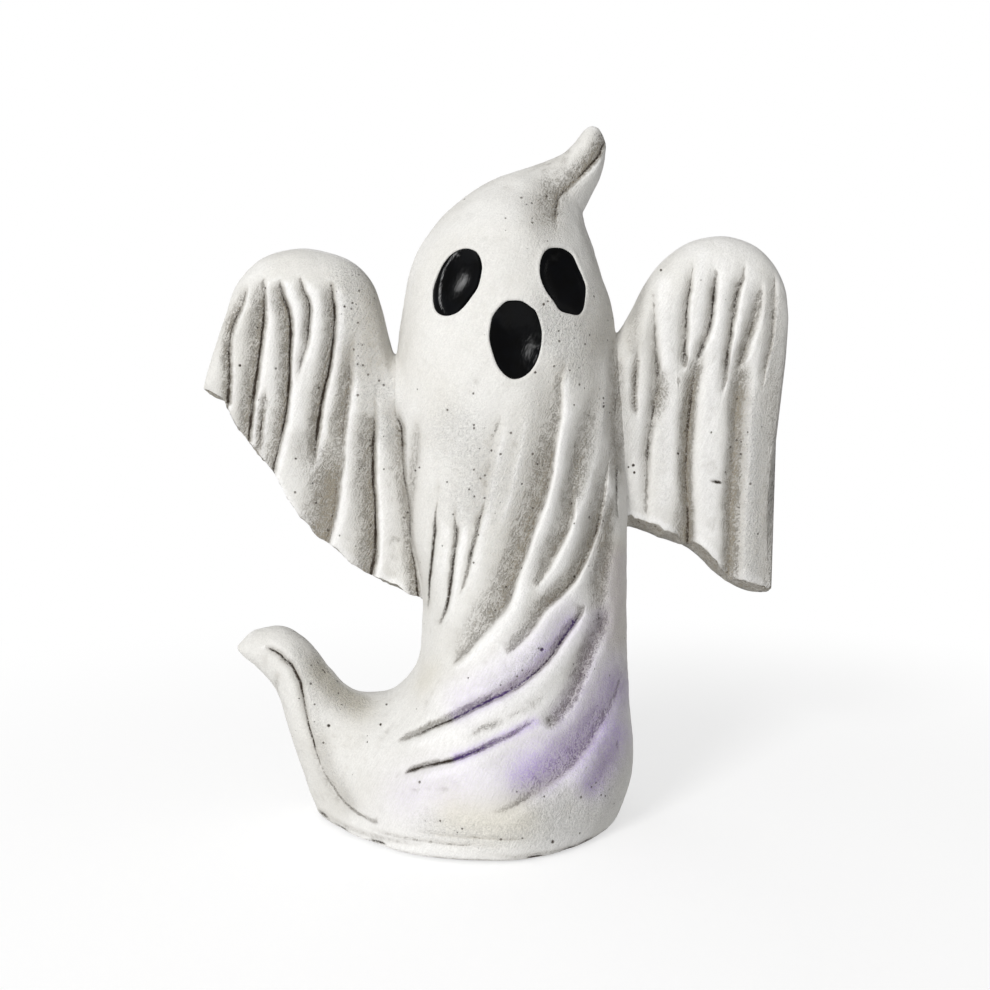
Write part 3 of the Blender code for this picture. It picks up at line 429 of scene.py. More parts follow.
# Brown for the antique wash, which also paints shade in troughs and on sides turned from the lamp
WASH_AND_SHADE_BROWN = (0.36, 0.32, 0.255)
# Near black for the creases' lines: stain with painted shade
CREASE_STAIN_AND_SHADE = (0.034, 0.020, 0.009)
PIT = (0.11, 0.09, 0.07)
# Painted violet light, and the creases' lines where it falls
VIOLET_LIGHT = (0.63, 0.48, 1.0)
VIOLET_LIT_CREASE_DARK = (0.10, 0.045, 0.22)
WARM = (0.80, 0.74, 0.55)


def on_centre_plane(x_px, y_px):
    """Across and up of the centre plane's point that the photograph shows at a pixel."""
    slope = (PHOTO_MIDDLE_PX - y_px) * PX_UP / VIEW_DISTANCE
    nearer = 1 / (TILT_COS + slope * TILT_SIN)
    across = (x_px - PHOTO_MIDDLE_PX) * PX_ACROSS * nearer
    up = VIEW_HEIGHT + VIEW_DISTANCE * (slope * TILT_COS - TILT_SIN) * nearer
    return across, up


def in_photo(points):
    """The photograph's pixel for each point, as seen from the viewpoint."""
    away = points[..., 1] + VIEW_DISTANCE
    above = points[..., 2] - VIEW_HEIGHT
    ahead = away * TILT_COS - above * TILT_SIN
    across = points[..., 0] / ahead * VIEW_DISTANCE
    up = (away * TILT_SIN + above * TILT_COS) / ahead * VIEW_DISTANCE
    return np.stack((PHOTO_MIDDLE_PX + across / PX_ACROSS, PHOTO_MIDDLE_PX - up / PX_UP), axis=-1)


def line_of_sight(points):
    """Unit vectors from the viewpoint to each point."""
    away = points - np.array(EYE)
    return away / np.linalg.norm(away, axis=-1, keepdims=True)


def smooth_rows(rows, count, spaced_by=4, closed=False):
    """Rows of given values, on a Catmull-Rom curve and evenly spaced along it."""
    rows = np.array(rows, dtype=float)
    if closed:
        rows = np.vstack((rows, rows[:1]))
        padded = np.vstack((rows[-2], rows, rows[1]))
    else:
        padded = np.vstack((2 * rows[0] - rows[1], rows, 2 * rows[-1] - rows[-2]))
    fine = []
    for index in range(1, len(padded) - 2):
        before, start, end, after = padded[index - 1:index + 3]
        bend = 2 * before - 5 * start + 4 * end - after
        twist = 3 * start - before - 3 * end + after
        for t in np.linspace(0, 1, CURVE_STEPS, endpoint=False):
            fine.append(start + t * (end - before + t * (bend + t * twist)) / 2)
    fine = np.array(fine + [rows[-1]])
    steps = np.linalg.norm(np.diff(fine[:, :spaced_by], axis=0), axis=1)
    along = np.concatenate(((0,), np.cumsum(steps)))
    even = np.linspace(0, along[-1], count)
    return np.stack([np.interp(even, along, column) for column in fine.T], axis=1)


def smooth_step(low, high, values):
    t = np.clip((values - low) / (high - low), 0, 1)
    return t * t * (3 - 2 * t)


def grid_normals(grid):
    """Outward normals of a closed loft, whose rings run along axis 0."""
    along = np.gradient(grid, axis=0)
    around = np.roll(grid, -1, axis=1) - np.roll(grid, 1, axis=1)
    normal = np.cross(along, around)
    normal /= np.maximum(np.linalg.norm(normal, axis=-1, keepdims=True), 1e-12)
    outward = grid - grid.mean(axis=1, keepdims=True)
    return -normal if (normal * outward).sum() < 0 else normal


def waves(points, length, seed, count=14):
    """A smooth uneven field between about -1 and 1, with features of that length."""
    rng = np.random.default_rng(seed)
    direction = rng.normal(size=(count, 3))
    direction /= np.linalg.norm(direction, axis=1, keepdims=True)
    direction *= math.tau / length * rng.uniform(0.6, 1.5, size=(count, 1))
    phase = rng.uniform(0, math.tau, size=count)
    field = np.zeros(points.shape[:-1])
    for way, start in zip(direction, phase):
        field += np.sin(points @ way + start)
    return field / math.sqrt(count)


def uneven_field(points, *layers):
    """Layers of waves added up. Each has its height, length and seed."""
    return sum(height * waves(points, length, seed) for height, length, seed in layers)


def along_stroke(pixels, places, reach):
    """For the pixels near a stroke: their indices, signed distances to it and its strength there."""
    path = smooth_rows(places, max(6, len(places) * 4), spaced_by=2)
    low, high = path[:, :2].min(axis=0) - reach, path[:, :2].max(axis=0) + reach
    near = np.nonzero(((pixels > low) & (pixels < high)).all(axis=-1))
    spots = pixels[near]
    best = np.full(len(spots), np.inf)
    signed = np.zeros(len(spots))
    strength = np.ones(len(spots))
    for start, end in zip(path, path[1:]):
        run = end[:2] - start[:2]
        t = np.clip(((spots - start[:2]) @ run) / (run @ run), 0, 1)
        offset = spots - start[:2] - t[:, None] * run
        away = np.hypot(offset[:, 0], offset[:, 1])
        closer = away < best
        best = np.where(closer, away, best)
        side = np.sign(run[1] * offset[:, 0] - run[0] * offset[:, 1])
        signed = np.where(closer, away * side, signed)
        if len(start) > 2:
            strength = np.where(closer, start[2] + t * (end[2] - start[2]), strength)
    return near, signed, np.clip(strength, 0, 1)


def hand_drawn(pixels):
    """Pixels shifted a little, so that what is drawn over them wavers as if made by hand."""
    flat = pixels.reshape(-1, 2)
    flat = np.concatenate((flat, np.zeros((len(flat), 1))), axis=1)
    shift = [uneven_field(flat, (0.7, 60, seed), (0.18, 14, seed + 1)) for seed in (61, 71)]
    return pixels + np.stack(shift, axis=1).reshape(pixels.shape)


def press_creases(pixels, creases):
    """Depth in metres, dark line and wash of the creases at each pixel: stain and antique wash, with painted
    shade in the crease's bottom and on the trough's soft side.
    """
    trough, lip, line, tone = np.zeros((4, *pixels.shape[:-1]))
    pixels = hand_drawn(pixels)
    for left, right, deep, lip_height, dark, wash_and_painted_shade, places in creases:
        near, signed, strength = along_stroke(pixels, places, 3 * max(left, right))
        on_left = signed < 0
        share = np.abs(signed) / np.where(on_left, left, right)
        fall = np.exp(-share ** np.where(on_left, 2.0, 1.8))
        groove = GROOVE_DEPTH * dark * np.exp(-(signed / GROOVE_HALF_PX) ** 2)
        edge = dark * np.exp(-(signed / np.where(on_left, *LINE_HALF_PX)) ** 2)
        rise = np.exp(-((signed - 2.0 * right - LIP_AWAY_PX) / (1.2 * right + LIP_HALF_PX)) ** 2)
        trough[near] = np.maximum(trough[near], strength * (deep * fall + groove))
        lip[near] = np.maximum(lip[near], strength * lip_height * rise * (signed > 0))
        # The line is stain with painted shade in the crease's bottom. The wash is antique wash with painted
        # shade, and it spreads wider on the soft side, mostly the side turned from the lamp.
        line[near] = np.maximum(line[near], strength ** 1.5 * edge)
        tone[near] = np.maximum(tone[near], strength * wash_and_painted_shade * np.exp(-share ** 2.0))
    return (trough - lip) * MM, line, tone


def press_pits(pixels):
    """Depth in metres and darkness of the air-bubble pits at each pixel."""
    depth, line = np.zeros((2, *pixels.shape[:-1]))
    for x, y, size, deep in FRONT_PITS:
        away = np.hypot(pixels[..., 0] - x, pixels[..., 1] - y)
        dent = np.exp(-(away / size) ** 2)
        depth = np.maximum(depth, deep * MM * dent)
        line = np.maximum(line, dent)
    return depth, line


def patch_field(pixels, patches):
    """How strongly the patches cover each pixel."""
    bare = np.ones(pixels.shape[:-1])
    for half_width, strength, places in patches:
        near, signed, _ = along_stroke(pixels, places, 3 * half_width)
        bare[near] *= 1 - strength * np.exp(-(signed / half_width) ** 2)
    return 1 - bare


def smooth_along(values, reach):
    """A running mean of a column of values."""
    padded = np.pad(values[:, 0], reach, mode="edge")
    return np.convolve(padded, np.ones(2 * reach + 1) / (2 * reach + 1), mode="valid")[:, None]


def sunk_field(grid):
    """How far each point lies below its surroundings, in shares of a quarter of a millimetre."""
    around = np.zeros_like(grid)
    steps = (SUNK_REACH // 3, 2 * SUNK_REACH // 3, SUNK_REACH)
    for step in steps:
        up = np.concatenate((np.repeat(grid[:1], step, axis=0), grid[:-step]))
        down = np.concatenate((grid[step:], np.repeat(grid[-1:], step, axis=0)))
        around += up + down + np.roll(grid, step, axis=1) + np.roll(grid, -step, axis=1)
    return ((around / (4 * len(steps)) - grid) * grid_normals(grid)).sum(axis=-1) / (0.25 * MM)


def body_grid(inset, rows, rings, angle):
    """Rings of the body's form, taken in by an inset, without its creases."""
    table = smooth_rows(rows, rings)
    inner_x, inner_z = on_centre_plane(table[:, 0], table[:, 1])
    outer_x, outer_z = on_centre_plane(table[:, 2], table[:, 3])
    centre = np.stack(((inner_x + outer_x) / 2, np.zeros(rings), (inner_z + outer_z) / 2), axis=1)
    reach = np.stack(((outer_x - inner_x) / 2, np.zeros(rings), (outer_z - inner_z) / 2), axis=1)
    length = np.linalg.norm(reach, axis=1)
    half_width = length - inset
    half_depth = table[:, 4] * BODY_DEPTH / 2 - inset
    across = (reach / length[:, None])[:, None, :] * (half_width[:, None] * np.cos(angle))[..., None]
    depth = -(half_depth[:, None] * np.sin(angle))[..., None] * np.array((0, 1, 0))
    return centre[:, None, :] + across + depth


def loft_quads(rings):
    """A closed loft's points and four-sided faces, and six times its volume, negative if they face in."""
    points = rings.reshape(-1, 3)
    index = np.arange(len(points)).reshape(rings.shape[:2])
    following = np.roll(index, -1, axis=1)
    quads = np.stack((index[:-1], following[:-1], following[1:], index[1:]), axis=-1).reshape(-1, 4)
    a, b, c, d = (points[quads[:, corner]] for corner in range(4))
    volume = (np.cross(b - a, c - a) * a).sum() + (np.cross(c - a, d - a) * a).sum()
    return points, quads, volume


def rings_to_mesh(name, rings):
    """A closed mesh from rings of points, with a cap on each end."""
    points, quads, volume = loft_quads(rings)
    count, sides = len(points), rings.shape[1]
    first, last = np.arange(sides), np.arange(count - sides, count)
    low_cap = np.stack((np.roll(first, -1), first, np.full(sides, count)), axis=-1)
    high_cap = np.stack((last, np.roll(last, -1), np.full(sides, count + 1)), axis=-1)
    mesh = bpy.data.meshes.new(name)
    mesh.from_pydata(np.concatenate((points, rings[:1].mean(axis=1), rings[-1:].mean(axis=1))), [],
                     quads.tolist() + low_cap.tolist() + high_cap.tolist())
    if volume < 0:
        mesh.flip_normals()
    return mesh


def grid_tree(grid, stride):
    """A search tree of a loft, from every few of its points."""
    points, quads, volume = loft_quads(grid[::stride, ::stride])
    return BVHTree.FromPolygons(points.tolist(), (quads[:, ::-1] if volume < 0 else quads).tolist())


def store_fields(mesh, fields):
    """Keep each field as a value per point, for the materials to read."""
    for name, values in fields.items():
        values = np.concatenate((values.reshape(-1), (values[0].mean(), values[-1].mean())))
        layer = mesh.attributes.new(name, "FLOAT", "POINT")
        layer.data.foreach_set("value", np.ascontiguousarray(values, dtype=np.float32))


def add_object(name, data):
    piece = bpy.data.objects.new(name, data)
    bpy.context.scene.collection.objects.link(piece)
    return piece


def thin_out(mesh, triangles):
    """The same mesh with fewer triangles, kept where its creases need them."""
    mesh.calc_loop_triangles()
    share = triangles / len(mesh.loop_triangles)
    if share >= 1:
        return mesh
    fine = add_object(mesh.name + "_fine", mesh)
    lines = np.zeros(len(mesh.vertices), dtype=np.float32)
    mesh.attributes["crease_line"].data.foreach_get("value", lines)
    plain = fine.vertex_groups.new(name="plain")
    plain.add(np.flatnonzero(lines < KEEP_LINE).tolist(), 1.0, "REPLACE")
    step = fine.modifiers.new("fewer_faces", "DECIMATE")
    step.vertex_group = "plain"
    step.ratio = share
    bpy.context.view_layer.update()
    thin = bpy.data.meshes.new_from_object(fine.evaluated_get(bpy.context.evaluated_depsgraph_get()))
    bpy.data.objects.remove(fine, do_unlink=True)
    return thin


def build_body_grid():
    """The body's rings with all its creases, and the fields for its colours, painted shade and painted light
    among them.
    """
    front = np.linspace(0, math.pi, BODY_FRONT_SIDES, endpoint=False)
    back = np.linspace(math.pi, math.tau, BODY_BACK_SIDES, endpoint=False)
    grid = body_grid(0, BODY_SECTION_SHARES, BODY_RINGS, np.concatenate((front, back)))
    normal = grid_normals(grid)
    pixels = in_photo(grid)
    flat_pixels = in_photo(grid * np.array((1, 0, 1)))
    facing = smooth_step(-0.02, 0.30, -normal[..., 1])
    behind = smooth_step(-0.02, 0.35, normal[..., 1])
    depth, line, tone = press_creases(pixels, BODY_CREASES)
    back_depth, back_line, back_tone = press_creases(flat_pixels, BODY_BACK_CREASES)
    pit_depth, pit_line = press_pits(pixels)
    pressed = line_of_sight(grid) * (facing * (depth + pit_depth))[..., None]
    line = np.maximum(facing * np.maximum(line, pit_line), behind * back_line)
    tone = facing * tone + behind * back_tone
    uneven = MM * uneven_field(grid, (0.35, 0.050, 3), (0.14, 0.016, 5), (0.05, 0.005, 7))
    foot = FOOT_TUCK * np.clip(1 - (grid[..., 2] - BASE_Z) / FOOT_TUCK_HEIGHT, 0, 1) ** 2
    shaped = grid + pressed + normal * (uneven - behind * back_depth - foot)[..., None]
    sunk = sunk_field(shaped)
    fields = {
        "crease_line": line,
        # The wash and the cavity darken troughs and hollows: antique wash with painted shade, also on sides
        # turned from the lamp
        "wash_and_painted_shade": np.maximum(tone, facing * patch_field(pixels, PAINTED_SHADE_AND_WASH_PATCHES)),
        "cavity": np.clip(sunk, 0, 1),
        # Paler on ridges, and painted light in patches
        "pale_ridges_and_painted_light": np.maximum(smooth_step(0.5, 1.7, -sunk), facing * patch_field(pixels, PAINTED_LIGHT_PATCHES)),
        # Painted violet light on the lower body
        "painted_violet_light": facing * patch_field(pixels, VIOLET_LIGHT_PATCHES),
        "speckled": np.maximum(facing * patch_field(pixels, SPECKLED_PATCHES), 0.8 * tone),
        "warm": facing * patch_field(pixels, WARM_PATCHES),
    }
    return shaped, fields


def hollow_foot(mesh):
    """Cut the body off at its foot, and close it with its rim and the wall of its hollow."""
    angle = np.linspace(0, math.tau, 64, endpoint=False)
    core = body_grid(WALL, BODY_SECTION_SHARES[CAVITY_FIRST_ROW:CAVITY_LAST_ROW], 60, angle)
    hollow = rings_to_mesh("hollow", core)
    hollow.flip_normals()
    bm = bmesh.new()
    bm.from_mesh(mesh)
    bm.from_mesh(hollow)
    down = Vector((0, 0, -1))
    cut = bmesh.ops.bisect_plane(bm, geom=bm.verts[:] + bm.edges[:] + bm.faces[:], plane_no=down,
                                 plane_co=Vector((0, 0, BASE_Z)), clear_outer=True)["geom_cut"]
    rim = [item for item in cut if isinstance(item, bmesh.types.BMEdge)]
    bmesh.ops.triangle_fill(bm, edges=rim, use_beauty=True, normal=down)
    bm.to_mesh(mesh)
    bm.free()
    return mesh


def sleeve_form(rib_shares):
    """A sleeve without its folds: each rib's length, and how full it is and where it lies on the way down."""
    table = smooth_rows(rib_shares, ARM_RIBS)
    top_x, top_z = on_centre_plane(table[:, 0:1], table[:, 1:2])
    hem_x, hem_z = on_centre_plane(table[:, 2:3], table[:, 3:4])
    share = np.clip(table[:, 4:5], 0.02, 1)
    bow = table[:, 5:6] * PX_ACROSS * BOW_SHARE
    length = np.hypot(hem_x - top_x, hem_z - top_z)
    rounding = np.minimum(ARM_ROUNDING * np.maximum(share, 0.3), length)

    def fullness(descent):
        to_full = np.clip(descent * length / rounding, 0, 1)
        return share * np.sqrt(1 - (1 - to_full) ** 2)

    def sheet(descent, side):
        half = fullness(descent) * (ARM_THICKNESS + (HEM_THICKNESS - ARM_THICKNESS) * descent ** 0.8) / 2
        across = top_x + (hem_x - top_x) * descent + bow * descent ** 2 * (1 - descent)
        up = top_z + (hem_z - top_z) * descent
        return np.stack((across, side * half, up), axis=-1)

    return length, fullness, sheet


def joined(front, hem, back):
    """One grid of values for a sleeve: down its front, round its hem and up its back."""
    widths = (ARM_FRONT_STEPS, HEM_STEPS, ARM_BACK_STEPS + 1)
    parts = [np.broadcast_to(part, (ARM_RIBS, width)) for part, width in zip((front, hem, back), widths)]
    return np.concatenate(parts, axis=1)


def build_arm_grid(rib_shares, creases, hem_values, seed):
    """A sleeve's rings with all its creases, and the fields for its colours, painted shade and painted light
    among them.
    """
    bevel, hem_painted_shade_line, hem_painted_shade = hem_values
    length, fullness, sheet = sleeve_form(rib_shares)
    rib = np.linspace(0, 1, ARM_RIBS)[:, None]

    # The front, down to a bevel that is narrow where a crease reaches the hem
    hem_press = press_creases(in_photo(sheet(np.clip(1 - bevel / length, 0, 1), -1)), creases)[0]
    hem_press = smooth_along(np.clip(hem_press / (5 * MM), 0, 1), ARM_RIBS // 40)
    ragged = HEM_ROUGHNESS * waves(np.repeat(rib, 3, axis=1) * 0.2, 0.014, seed + 17)[:, None]
    bevel = np.clip(bevel * (1 - 0.7 * hem_press) + ragged, 0.5 * MM, None)
    front_down = np.linspace(0, 1, ARM_FRONT_STEPS + 1)[None, 1:] ** STEP_CROWDING
    front_down = front_down * (1 - np.minimum(bevel / length, 1 / 3))
    front = sheet(front_down, -1)
    pixels = in_photo(front)
    depth, line, tone = press_creases(pixels, creases + FRONT_NICKS)
    pit_depth, pit_line = press_pits(pixels)
    limit = np.minimum(1, 1.5 * fullness(front_down))
    front = front + ((depth + pit_depth) * limit)[..., None] * line_of_sight(front)

    # The back, with soft pleats of its own
    back_down = np.linspace(0, 1, ARM_BACK_STEPS + 1)[None, ::-1] ** STEP_CROWDING
    sway = 0.06 * np.sin(back_down * 5 + seed)
    pleat = np.abs(np.sin(math.pi * PLEATS * (rib + sway) + seed))
    valley = (1 - pleat) ** 2 * smooth_step(0.12, 0.45, back_down)
    back_depth = PLEAT_DEPTH * valley * fullness(back_down) - 0.6 * depth[:, -1:] * back_down
    back = sheet(back_down, 1) - back_depth[..., None] * np.array((0, 1, 0))

    # The hem between them, rounded and a little lumpy
    step = np.linspace(0, 1, HEM_STEPS + 2)[None, 1:-1, None]
    hem = front[:, -1:] * (1 - step) + back[:, :1] * step
    arch = np.sin(math.pi * step[..., 0])
    bulge = joined(0, 0.35 * MM * arch + 0.20 * MM * waves(hem, 0.004, seed + 14), 0)
    full = joined(fullness(front_down), fullness(1), fullness(back_down))
    grid = np.concatenate((front, hem, back), axis=1)
    layers = (0.30, 0.040, seed + 11), (0.12, 0.014, seed + 12), (0.05, 0.005, seed + 13)
    uneven = MM * uneven_field(grid, *layers)
    grid = grid + grid_normals(grid) * (uneven * np.minimum(1, 2 * full) + bulge)[..., None]

    # Painted shade on the hem's bevel, darkest at its edges
    hem_edge_shade = hem_painted_shade_line + HEM_EDGE_SHADE * (1 - arch) ** 2
    sunk = sunk_field(grid)
    # On the hem, the line and the wash are painted shade on the downward bevel. On the back, the pleats'
    # valleys get wash and painted shade in their line and wash.
    fields = {
        "crease_line": joined(np.maximum(line, pit_line), np.maximum(line[:, -1:] * 0.8, hem_edge_shade),
                              0.6 * valley ** 4),
        "wash_and_painted_shade": joined(np.maximum(tone, patch_field(pixels, PAINTED_SHADE_AND_WASH_PATCHES)), hem_painted_shade, 0.6 * valley),
        "cavity": np.clip(sunk, 0, 1),
        # Paler on ridges, and painted light in patches
        "pale_ridges_and_painted_light": np.maximum(smooth_step(0.5, 1.7, -sunk), joined(patch_field(pixels, PAINTED_LIGHT_PATCHES), 0, 0)),
        "painted_violet_light": joined(0, 0, 0),
        "speckled": joined(np.maximum(patch_field(pixels, SPECKLED_PATCHES), 0.8 * tone), 0.8,
                           0.3 * valley),
        "warm": joined(0, 0.15, 0),
    }
    return grid, fields


def near_box(points, others, reach):
    low, high = others.min(axis=0) - reach, others.max(axis=0) + reach
    return np.flatnonzero(((points > low) & (points < high)).all(axis=1))


def signed_gaps(points, tree, reach):
    """Each point's distance to a surface, negative inside, and the way out; far points have reach."""
    gaps = np.full(len(points), reach)
    ways = np.zeros((len(points), 3))
    for number, point in enumerate(points):
        spot, normal, _, away = tree.find_nearest(Vector(point), reach)
        if spot is None:
            continue
        side = 1 if (Vector(point) - spot).dot(normal) >= 0 else -1
        gaps[number] = side * away
        ways[number] = normal
    return gaps, ways


def fillet_lift(points, gaps, table):
    """How far a surface lifts near another one, so that the two meet in a smooth hollow."""
    heights, reaches = np.array(table, dtype=float).T
    reach = np.interp(in_photo(points)[:, 1], heights, reaches) * MM
    root = np.sqrt(np.clip(gaps, reach / 4, reach))
    lift = (np.sqrt(reach) - root) ** 2
    return (lift * smooth_step(-3 * reach, -reach, gaps))[:, None]


def meet(body, arm, fillet_table):
    """Lift the body and an arm where they meet, and keep the arm's root just under the body's skin."""
    body_tree, arm_tree = grid_tree(body, 3), grid_tree(arm, 3)
    widest = max(reach for _, reach in fillet_table) * MM
    body_points = body.reshape(-1, 3)
    arm_points = arm.reshape(-1, 3)
    body_near = near_box(body_points, arm_points, widest)
    arm_near = near_box(arm_points, body_points, widest)
    body_gaps, _ = signed_gaps(body_points[body_near], arm_tree, 3 * widest)
    arm_gaps, ways_out = signed_gaps(arm_points[arm_near], body_tree, ARM_SEARCH)
    body_normals = grid_normals(body).reshape(-1, 3)[body_near]
    arm_normals = grid_normals(arm).reshape(-1, 3)[arm_near]
    body_points[body_near] += body_normals * fillet_lift(body_points[body_near], body_gaps, fillet_table)
    lifted = arm_normals * fillet_lift(arm_points[arm_near], arm_gaps, fillet_table)
    sunk = np.clip(-ARM_EMBED - arm_gaps, 0, None)[:, None] * ways_out
    arm_points[arm_near] += np.where(arm_gaps[:, None] < -ARM_EMBED, sunk, lifted)


def outline_share(pixels, outline):
    """Each pixel's distance from an outline's middle, in shares of the outline's own reach there."""
    middle = (outline.max(axis=0) + outline.min(axis=0)) / 2
    fine = smooth_rows(outline, 180, 2, closed=True)[:-1] - middle
    turn = np.arctan2(fine[:, 1], fine[:, 0])
    order = np.argsort(turn)
    reach = np.hypot(fine[:, 0], fine[:, 1])[order]
    offset = pixels - middle
    own = np.arctan2(offset[..., 1], offset[..., 0])
    limit = np.interp(own, turn[order], reach, period=math.tau)
    return np.hypot(offset[..., 0], offset[..., 1]) / limit


def face_floor(name, outline, pixels, share):
    """How deep an opening's floor lies. It leans across and upwards, as its shape's values say."""
    dish, lean_across, lean_up = FLOOR_SHAPES[name]
    low, high = outline.min(axis=0), outline.max(axis=0)
    place = np.clip((2 * pixels - low - high) / (high - low), -1, 1)
    lean = lean_across * place[..., 0] - lean_up * place[..., 1]
    return dish * np.clip(1 - share ** 2, 0, 1) + lean * np.clip(1 - share ** 8, 0, 1)


def sight(tree, pixel):
    """Where the line of sight through a pixel meets the body, and the surface normal there."""
    across, up = on_centre_plane(*pixel)
    eye = Vector(EYE)
    spot, normal, _, _ = tree.ray_cast(eye, (Vector((across, 0, up)) - eye).normalized())
    return spot, normal


def dish_face(grid, tree):
    """Press the face's openings into the body, and give the way that each is pressed."""
    pixels = in_photo(grid)
    front = grid_normals(grid)[..., 1] < 0
    ways = {}
    for name, outline in FACE_OUTLINES.items():
        outline = np.array(outline)
        ways[name] = -np.array(sight(tree, outline.mean(axis=0))[1])
        share = outline_share(pixels, outline)
        pocket = (RIM_RECESS + GLOSS_THICKNESS) * (1 - smooth_step(0.98, 1.05, share))
        pocket += face_floor(name, outline, pixels, share)
        lip = RIM_LIP * np.exp(-((share - 1.12) / 0.06) ** 2)
        grid += (front * (pocket - lip))[..., None] * ways[name]
    return ways


def gloss_rings(name, tree, inward):
    """An opening's poured black filling, with a dished front that follows a smoothed body."""
    outline = np.array(FACE_OUTLINES[name])
    middle = (outline.max(axis=0) + outline.min(axis=0)) / 2
    edge = smooth_rows(outline, GLOSS_SIDES + 1, 2, closed=True)[:-1] - middle
    shares = GLOSS_OVERLAP * (np.arange(1, GLOSS_CIRCLES + 1) / GLOSS_CIRCLES) ** 0.8
    offset = edge * shares[:, None, None]
    pixels = middle + offset
    spots = np.array([[sight(tree, pixel)[0] for pixel in circle] for circle in pixels])
    up = offset[..., 1] / 30
    terms = np.stack((up ** 0, up, up ** 2), axis=-1)
    deep = spots @ inward
    best = np.linalg.lstsq(terms.reshape(-1, 3), deep.reshape(-1), rcond=None)[0]
    settled = (terms @ best - deep) * (1 - smooth_step(0.6, 0.95, shares))[:, None]
    dish = RIM_RECESS + face_floor(name, outline, pixels, shares[:, None])
    dish[-1] += 0.15 * MM
    fronts = spots + (settled + dish)[..., None] * inward
    backs = fronts + 0.9 * GLOSS_THICKNESS * inward
    return np.concatenate((fronts, backs[::-1]))


def felt_rings(place, radius, thick, seed):
    """A stamped felt disc with a soft, slightly fuzzy rim."""
    turn = np.linspace(0, math.tau, 160, endpoint=False)
    rings = []
    for share, height in smooth_rows(FELT_PROFILE, 40, spaced_by=2):
        ring = np.stack((np.cos(turn) * radius * share, np.sin(turn) * radius * share,
                         np.full(len(turn), thick * height)), axis=1)
        fuzz = uneven_field(ring, (0.10, 0.0016, 40 + seed), (0.06, 0.0007, 50 + seed))
        ring[:, :2] *= (1 - 0.04 * share * np.abs(fuzz))[:, None]
        ring[:, 2] = np.clip(ring[:, 2] + fuzz * 0.5 * MM * (0.5 - height), 0, thick)
        rings.append(ring + np.array(place))
    return np.array(rings)


def link_value(socket, value):
    """Link a socket to another one's output, or give it a value of its own."""
    if isinstance(value, bpy.types.NodeSocket):
        socket.id_data.links.new(value, socket)
    elif isinstance(value, tuple) and socket.type == "RGBA":
        socket.default_value = (*value, 1)
    else:
        socket.default_value = value


def set_inputs(node, **inputs):
    """Link or set a node's inputs, which are named as in Blender, with _ for a space."""
    for key, value in inputs.items():
        link_value(node.inputs[key.replace("_", " ")], value)


def add_node(tree, kind, *values, settings=None, **inputs):
    """A shader node. The values go to its first inputs, in their order."""
    node = tree.nodes.new("ShaderNode" + kind)
    for key, value in (settings or {}).items():
        setattr(node, key, value)
    for socket, value in zip(node.inputs, values):
        link_value(socket, value)
    set_inputs(node, **inputs)
    return node


def add_after(socket, kind, *values, **others):
    """A shader node whose first input is linked to a socket of the same tree."""
    return add_node(socket.id_data, kind, socket, *values, **others)


def maths(operation, first, *others, clamp=False):
    settings = {"operation": operation, "use_clamp": clamp}
    return add_after(first, "Math", *others, settings=settings).outputs[0]


def times(first, second, clamp=False):
    return maths("MULTIPLY", first, second, clamp=clamp)


def ranged(value, low, high, new_low=0.0, new_high=1.0):
    """A value's range from low to high, eased onto a new one."""
    return add_after(value, "MapRange", low, high, new_low, new_high,
                     settings={"interpolation_type": "SMOOTHSTEP"}).outputs["Result"]


def mixed(factor, first, second, blend="MIX"):
    """Two colours mixed. The Mix node's colours are its inputs 6 and 7, and its output 2."""
    node = add_after(factor, "Mix", settings={"data_type": "RGBA", "blend_type": blend})
    link_value(node.inputs[6], first)
    link_value(node.inputs[7], second)
    return node.outputs[2]


def noise(coords, scale, detail=3.0, rough=0.55):
    return add_after(coords, "TexNoise", Scale=scale, Detail=detail, Roughness=rough).outputs[0]


def streaks(coords, turn, size, detail=2.0, rough=0.55):
    """Noise that is stretched to a size in metres along each axis, and turned."""
    node = add_after(coords, "Mapping", settings={"vector_type": "TEXTURE"}, Rotation=turn, Scale=size)
    return noise(node.outputs[0], 1.0, detail, rough)


def stored(coords, name):
    """The value that store_fields kept under a name, in the tree that the coordinates are from."""
    return add_node(coords.id_data, "Attribute", settings={"attribute_name": name}).outputs["Fac"]


def make_material(name, surface, **uniform):
    """A material whose surface is a function of the coordinates, which gives its colour, its roughness,
    its relief and the relief's depth in metres. The uniform inputs are the same all over it."""
    material = bpy.data.materials.new(name)
    material.use_nodes = True
    tree = material.node_tree
    shader = tree.nodes["Principled BSDF"]
    set_inputs(shader, **uniform)
    colour, rough, relief, depth = surface(add_node(tree, "TexCoord").outputs["Object"])
    bump = add_node(tree, "Bump", Height=relief, Distance=depth, Strength=1.0).outputs[0]
    set_inputs(shader, Base_Color=colour, Roughness=rough, Normal=bump)
    return material


